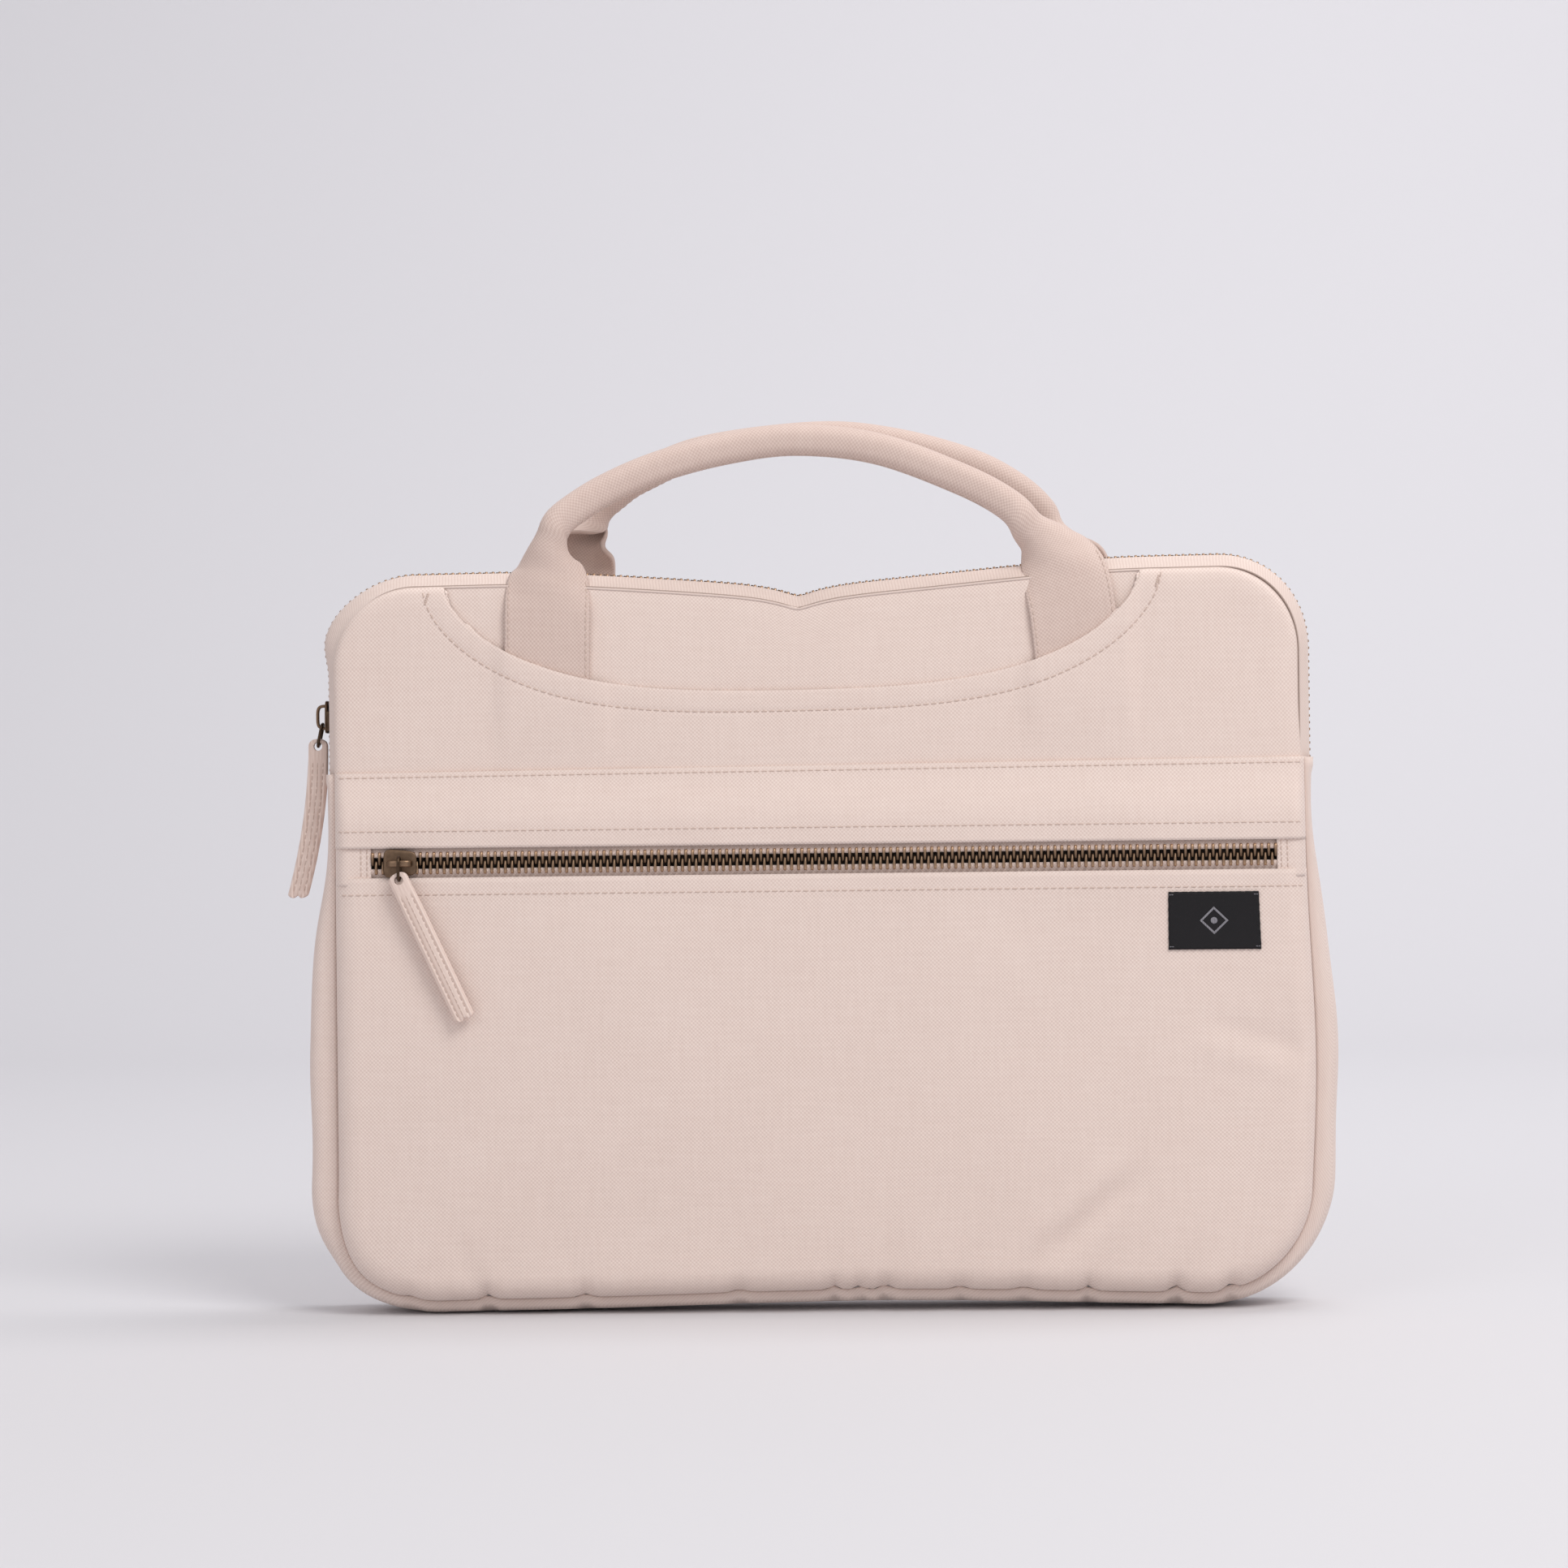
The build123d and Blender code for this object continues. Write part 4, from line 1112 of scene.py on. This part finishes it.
mainAxes = [[0, 0, 1], [0, -1, 0], [-1, 0, 0]]
pocketAxes = [[1, 0, 0], [0, 0, 1], [0, -1, 0]]
mainSlider = [-191.5, 0.0, 234.4]
pocketSlider = [-162.5, -pocket["teeth"], pocket["zip"]]
sliderPieces("mainSlider", mainSlider, mainAxes, "main_slider")
sliderPieces("pocketSlider", pocketSlider, pocketAxes, "pocket_slider")
pull = {
    "length": 63.0,
    "width": 8.2,
    "thick": 3.0,
    "eye": 3.0,               # from its upper end to the middle of the eye
    "hole": 1.7,
    "ridges": 4,
    "topRound": 3.2,
    "endRound": 2.2,
    "stitch": {"pitch": 2.6, "length": 1.8, "radius": 0.22},
}


# Template of one stitch: a short thread lying along its row, closed at both ends.
stitchSections = [(-0.5, 0.45, 0.4), (-0.34, 1.0, 1.0), (0.34, 1.0, 1.0), (0.5, 0.45, 0.4)]
hexagon = [(math.cos(a), math.sin(a)) for a in np.linspace(0, 2 * math.pi, 7)[:-1]]
stitchShape = np.array([(t, w * a, h * b) for t, w, h in stitchSections for a, b in hexagon])
stitchFaces = ringFaces(len(stitchSections), len(hexagon))
stitch = {"pitch": 3.0, "length": 2.1, "radius": 0.26, "lift": 0.06}


# A row of stitches along a line on the cloth, each set in the line's direction and the cloth's face.
def stitchRow(line, outward, keep=None, **sizes):
    pitch, length, radius = ({**stitch, **sizes}[key] for key in ("pitch", "length", "radius"))
    outward = np.broadcast_to(outward, line.shape)
    run = runLengths(line)
    at = np.arange(pitch / 2, run[-1], pitch)
    if keep is not None:
        at = at[np.interp(at, run, keep.astype(float)) > 0.5]
    place, along, out = (np.stack([np.interp(at, run, column) for column in values.T], axis=-1)
                         for values in (line, np.gradient(line, axis=0), outward))
    along = unit(along)
    out = unit(out - along * (out * along).sum(axis=1, keepdims=True))
    axes = np.stack([along * length, np.cross(out, along) * radius, out * radius * 0.8], axis=1)
    return place + out * stitch["lift"], axes


def stitchPiece(name, rows, material=shadedThread):
    origins, axes = (np.concatenate(parts) for parts in zip(*rows))
    return scatter(name, stitchShape, stitchFaces, origins, axes, material)


# The pull is a folded and stitched strip: ridges between its rows of stitches, a round upper end with
# an eye for the ring, and a lower end of two soft lobes. The bend carries its lower end outwards.
def pullTab(name, origin, tilt, bend, node, bodyName):
    down = np.linspace(0, 1, 90)
    s = pull["length"] * (1 - np.cos(math.pi * down)) / 2 - pull["eye"]
    end = pull["length"] - pull["eye"]
    top = np.clip(1 - (1 - (s + pull["eye"]) / pull["topRound"]).clip(0) ** 2.4, 0, 1) ** 0.42
    low = np.clip(1 - (1 - (end - s) / pull["endRound"]).clip(0) ** 2.4, 0, 1) ** 0.42
    halfWide = pull["width"] / 2 * top * low * (0.95 + 0.05 * smooth(2, 14, s))
    angle = np.linspace(0, 2 * math.pi, 65)[:-1][None, :]
    u = signedPower(np.cos(angle), 0.6)
    v = signedPower(np.sin(angle), 0.6)
    ridge = 0.5 * np.cos(pull["ridges"] * math.pi * (u + 1))
    flatTop = smooth(4, 9, s)[:, None]
    halfThick = pull["thick"] / 2 * np.sqrt(top * low)
    x = halfWide[:, None] * u
    y = halfThick[:, None] * v * (1 - 0.3 * (0.5 + ridge) * flatTop)
    length = s[:, None] - 1.1 * bell(x, 0, 0.9) * smooth(end - 7, end, s)[:, None]
    points = stacked(x + bend * (np.clip(length, 0, None) / end) ** 1.9, y, -length)
    cos, sin = math.cos(tilt), math.sin(tilt)
    axes = [[cos, 0, -sin], [0, 1, 0], [sin, 0, cos]]
    tab = ringsPiece(name, [points], axes, origin, pullCloth)
    bpy.ops.mesh.primitive_cylinder_add(vertices=24, radius=pull["hole"] * mm, depth=0.02,
                                        location=np.array(origin) * mm, rotation=(math.pi / 2, 0, 0))
    drill = bpy.context.object
    cut = tab.modifiers.new("eye", "BOOLEAN")
    cut.operation = "DIFFERENCE"
    cut.object = drill
    bpy.context.view_layer.objects.active = tab
    bpy.ops.object.modifier_apply(modifier=cut.name)
    bpy.data.objects.remove(drill)
    tab.data.polygons.foreach_set("use_smooth", np.ones(len(tab.data.polygons), dtype=bool))
    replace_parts(tab, node)
    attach(tab, bodyName)
    run = np.linspace(6, end - 3, 60)
    rows = []
    for face in (-1, 1):
        for place in (-0.25, 0.0, 0.25):
            x = place * pull["width"] + bend * (run / end) ** 1.9
            line = np.array(origin) + stacked(x, face * 0.37 * pull["thick"], -run) @ np.array(axes)
            rows.append(stitchRow(line, [0.0, face, 0.0], **pull["stitch"]))
    stitches = stitchPiece(name + "Stitches", rows)
    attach(stitches, bodyName)


pullTab("mainPull", jointPlace("main_tab_swing"), 0.0, -9.0, "main_pull_tab", "main_tab")
pullTab("pocketPull", jointPlace("pocket_tab_swing"), math.radians(-25.0), 0.0, "pocket_pull_tab",
        "pocket_tab")
print("bag: sliders and pulls made")

# The woven label: near-black, with a plain diamond and a dot in grey thread.

label = {
    "x": 152.3,
    "z": 151.4,
    "width": 34.3,
    "height": 22.3,
    "thick": 0.6,
    "lift": 0.65,
    "fray": 0.25,
    "markLift": 0.72,
    "stitchIn": 1.1,
}


def labelDepth(x, z):
    return pocketDepth(x, z) + label["lift"]


x, z = np.meshgrid(label["width"] * np.linspace(-0.5, 0.5, 40) + label["x"],
                   label["height"] * np.linspace(-0.5, 0.5, 26) + label["z"])
rimward = np.maximum(np.abs(x - label["x"]) / label["width"], np.abs(z - label["z"]) / label["height"]) * 2
fray = label["fray"] * rimward ** 8 * np.sin(x * 2.1 + z * 1.7)
labelPiece = clothPiece("labelCloth", drape(stacked(x, -(labelDepth(x, z) + fray), z)), labelSatin, "label",
                        label["thick"], "woven_label", uv=stacked(x, z))
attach(labelPiece, "shell")


# A round thread laid in a ring with a few or many sides, closed on itself.
def markRing(outer, inner, sides):
    angle = np.linspace(0, 2 * math.pi, sides + 1)[:, None] + math.pi / 2
    section = np.linspace(0, 2 * math.pi, 9)[:-1][None, :]
    radius = (outer + inner) / 2 + (outer - inner) / 2 * np.cos(section)
    x = label["x"] + radius * np.cos(angle)
    z = label["z"] + radius * np.sin(angle)
    depth = pocketDepth(x, z) + label["markLift"] + 0.16 * np.sin(section)
    return drape(stacked(x, -depth, z))


mark = ringsPiece("labelMark", [markRing(5.4, 4.3, 4), markRing(1.3, 0.02, 20)], np.eye(3), (0, 0, 0),
                  markThread)
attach(mark, "shell")

# Stitches.


def faceRow(x, z, depth, **sizes):
    return stitchRow(facePoints(x, z, depth), [0.0, -1.0, 0.0], **sizes)


def levelRow(reach, z, depth):
    return faceRow(np.linspace(-reach, reach, 300), np.full(300, z), depth)


def uprightRow(x, low, high, depth, **sizes):
    return faceRow(np.full(30, x), np.linspace(low, high, 30), depth, **sizes)


bandStitches = stitchPiece("bandStitches", [levelRow(187, pocket["bandHigh"] - 2.0, bandDepth),
                                            levelRow(187, pocket["bandLow"] + 6.6, bandDepth)])
pocketStitches = stitchPiece("pocketStitches", [levelRow(186, pocket["edge"] - 6.6, pocketDepth)])
endRows = [uprightRow(x, 171.5, 182.0, endDepth, pitch=2.2, length=1.6)
           for x in (pocket["zipLeft"] - 1.6, pocket["zipLeft"] - 4.0, pocket["zipRight"] + 1.6,
                     pocket["zipRight"] + 4.0)]
endStitches = stitchPiece("zipEndStitches", endRows)
labelRows = []
for handX in (-1, 1):
    for handZ in (-1, 1):
        x = label["x"] + handX * (label["width"] / 2 - label["stitchIn"]) + np.linspace(-0.9, 0.9, 8)
        z = label["z"] + handZ * (label["height"] / 2 - label["stitchIn"])
        labelRows.append(faceRow(x, np.full(8, z), labelDepth, pitch=0.9, length=0.8, radius=0.16))
labelStitches = stitchPiece("labelStitches", labelRows, markThread)
for piece in (bandStitches, pocketStitches, endStitches, labelStitches):
    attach(piece, "shell")


# The scoop's stitches keep one hem's width inside its edge, and a short thick bar tack holds each end.
tack = {
    "beyond": 7,              # outwards from the scoop's end
    "z": 279.0,
    "half": 3.5,
    "slope": 0.6,
    "stitch": {"pitch": 0.8, "length": 0.9, "radius": 0.4},
}


def scoopRow(x, z, side, **sizes):
    points = settle(stacked(x, side * (panelDepth(x, z) + 0.05), z))
    return stitchRow(points, [0.0, side, 0.0], **sizes)


def scoopStitches(name, side):
    line = scoopLine(400)
    step = unit(np.gradient(line, axis=0))
    away = line + stacked(step[:, 1], -step[:, 0]) * scoop["hem"]
    away = away[edgeDistance(away[:, 0], away[:, 1]) > 1.5]
    rows = [scoopRow(away[:, 0], away[:, 1], side)]
    run = np.linspace(-tack["half"], tack["half"], 12)
    for endX in (line[6, 0], line[-7, 0]):
        x = endX + run * 0.2 + np.sign(endX) * tack["beyond"]
        rows.append(scoopRow(x, tack["z"] + run * tack["slope"], side, **tack["stitch"]))
    return stitchPiece(name, rows)


scoopFront = scoopStitches("scoopStitches", frontSide)
scoopRear = scoopStitches("rearScoopStitches", backSide)
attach(scoopFront, "front_flap")
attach(scoopRear, "shell")


# Two rows along the strap, near its edges, on its outer face; where it folds over they are hidden.
def strapStitches(name, frames):
    roll = frames[3]
    rows = []
    for hand in (-1, 1):
        a = np.full((strap["steps"], 1), hand * (strap["width"] / 2 - 1.4))
        on = rolled(frames, a, strap["thick"] / 2)[:, 0]
        rows.append(stitchRow(on, on - rolled(frames, a)[:, 0], keep=(roll < 0.3) | (roll > 0.97)))
    piece = stitchPiece(name, rows)
    bendHandle(piece)
    return piece


frontStrapRows = strapStitches("frontStrapStitches", frontFrames)
rearStrapRows = strapStitches("rearStrapStitches", rearFrames)
print("bag: label and stitches made")

# Metal kept from the frame.

for node in ("main_pull_ring", "pocket_pull_ring"):
    ring = frame["nodes"][node]
    ring.data.materials.clear()
    ring.data.materials.append(brass)

# Floor, light and camera.

studio = {"reach": 3.2, "frontAt": -4.0, "backAt": 1.5, "curve": 1.1, "wall": 3.2}
x = np.linspace(-studio["reach"], studio["reach"], 3)
turn = np.linspace(0, math.pi / 2, 24)
wallAt = studio["backAt"] + studio["curve"]
depthLine = np.concatenate([[studio["frontAt"]], studio["backAt"] + studio["curve"] * np.sin(turn), [wallAt]])
heightLine = np.concatenate([[0.0], studio["curve"] * (1 - np.cos(turn)), [studio["wall"]]])
sweepPoints = stacked(x, depthLine[:, None], heightLine[:, None]) / mm
paper, tree = newMaterial("paperBackdrop")
shader = addNode(tree, "ShaderNodeBsdfPrincipled", {"Base Color": colour("#d6d5d8"), "Roughness": 0.9,
                                                    "Specular IOR Level": 0.1})
addNode(tree, "ShaderNodeOutputMaterial", {0: shader.outputs[0]})
gridPiece("studioFloor", sweepPoints, paper, "canvas")

world = bpy.data.worlds.new("studioAir")
bpy.context.scene.world = world
world.use_nodes = True
air = world.node_tree.nodes["Background"].inputs
air["Color"].default_value, air["Strength"].default_value = colour("#f6f4f7"), 0.64


def softLight(name, place, target, size, power, tone):
    data = bpy.data.lights.new(name, "AREA")
    data.shape = "DISK"
    data.size = size
    data.energy = power
    data.color = tone
    lamp = bpy.data.objects.new(name, data)
    lamp.location = place
    lamp.rotation_euler = (Vector(target) - Vector(place)).to_track_quat("-Z", "Y").to_euler()
    bpy.context.scene.collection.objects.link(lamp)


softLight("keyLight", (0.75, -1.15, 1.55), (0, 0, 0.15), 1.0, 18, (1.0, 0.985, 0.965))
softLight("fillLight", (-1.3, -1.9, 1.2), (0, 0, 0.15), 1.6, 6, (1.0, 0.99, 0.98))
softLight("backdropLight", (0.8, 0.5, 2.6), (0.3, 2.6, 1.3), 1.8, 41, (0.99, 0.985, 1.0))

view = {"lens": 95.0, "at": (0.030, -1.63, 0.206), "aim": (-0.013, -0.0256, 0.206), "roll": -0.65}
cameraData = bpy.data.cameras.new("camera")
cameraData.lens = view["lens"]
cameraData.sensor_width = 36.0
camera = bpy.data.objects.new("camera", cameraData)
camera.location = view["at"]
aim = (Vector(view["aim"]) - Vector(view["at"])).to_track_quat("-Z", "Y").to_matrix().to_4x4()
camera.rotation_euler = (aim @ Matrix.Rotation(math.radians(view["roll"]), 4, "Z")).to_euler()
bpy.context.scene.collection.objects.link(camera)
bpy.context.scene.camera = camera
bpy.context.scene.view_settings.view_transform = "Standard"

print("bag: done")
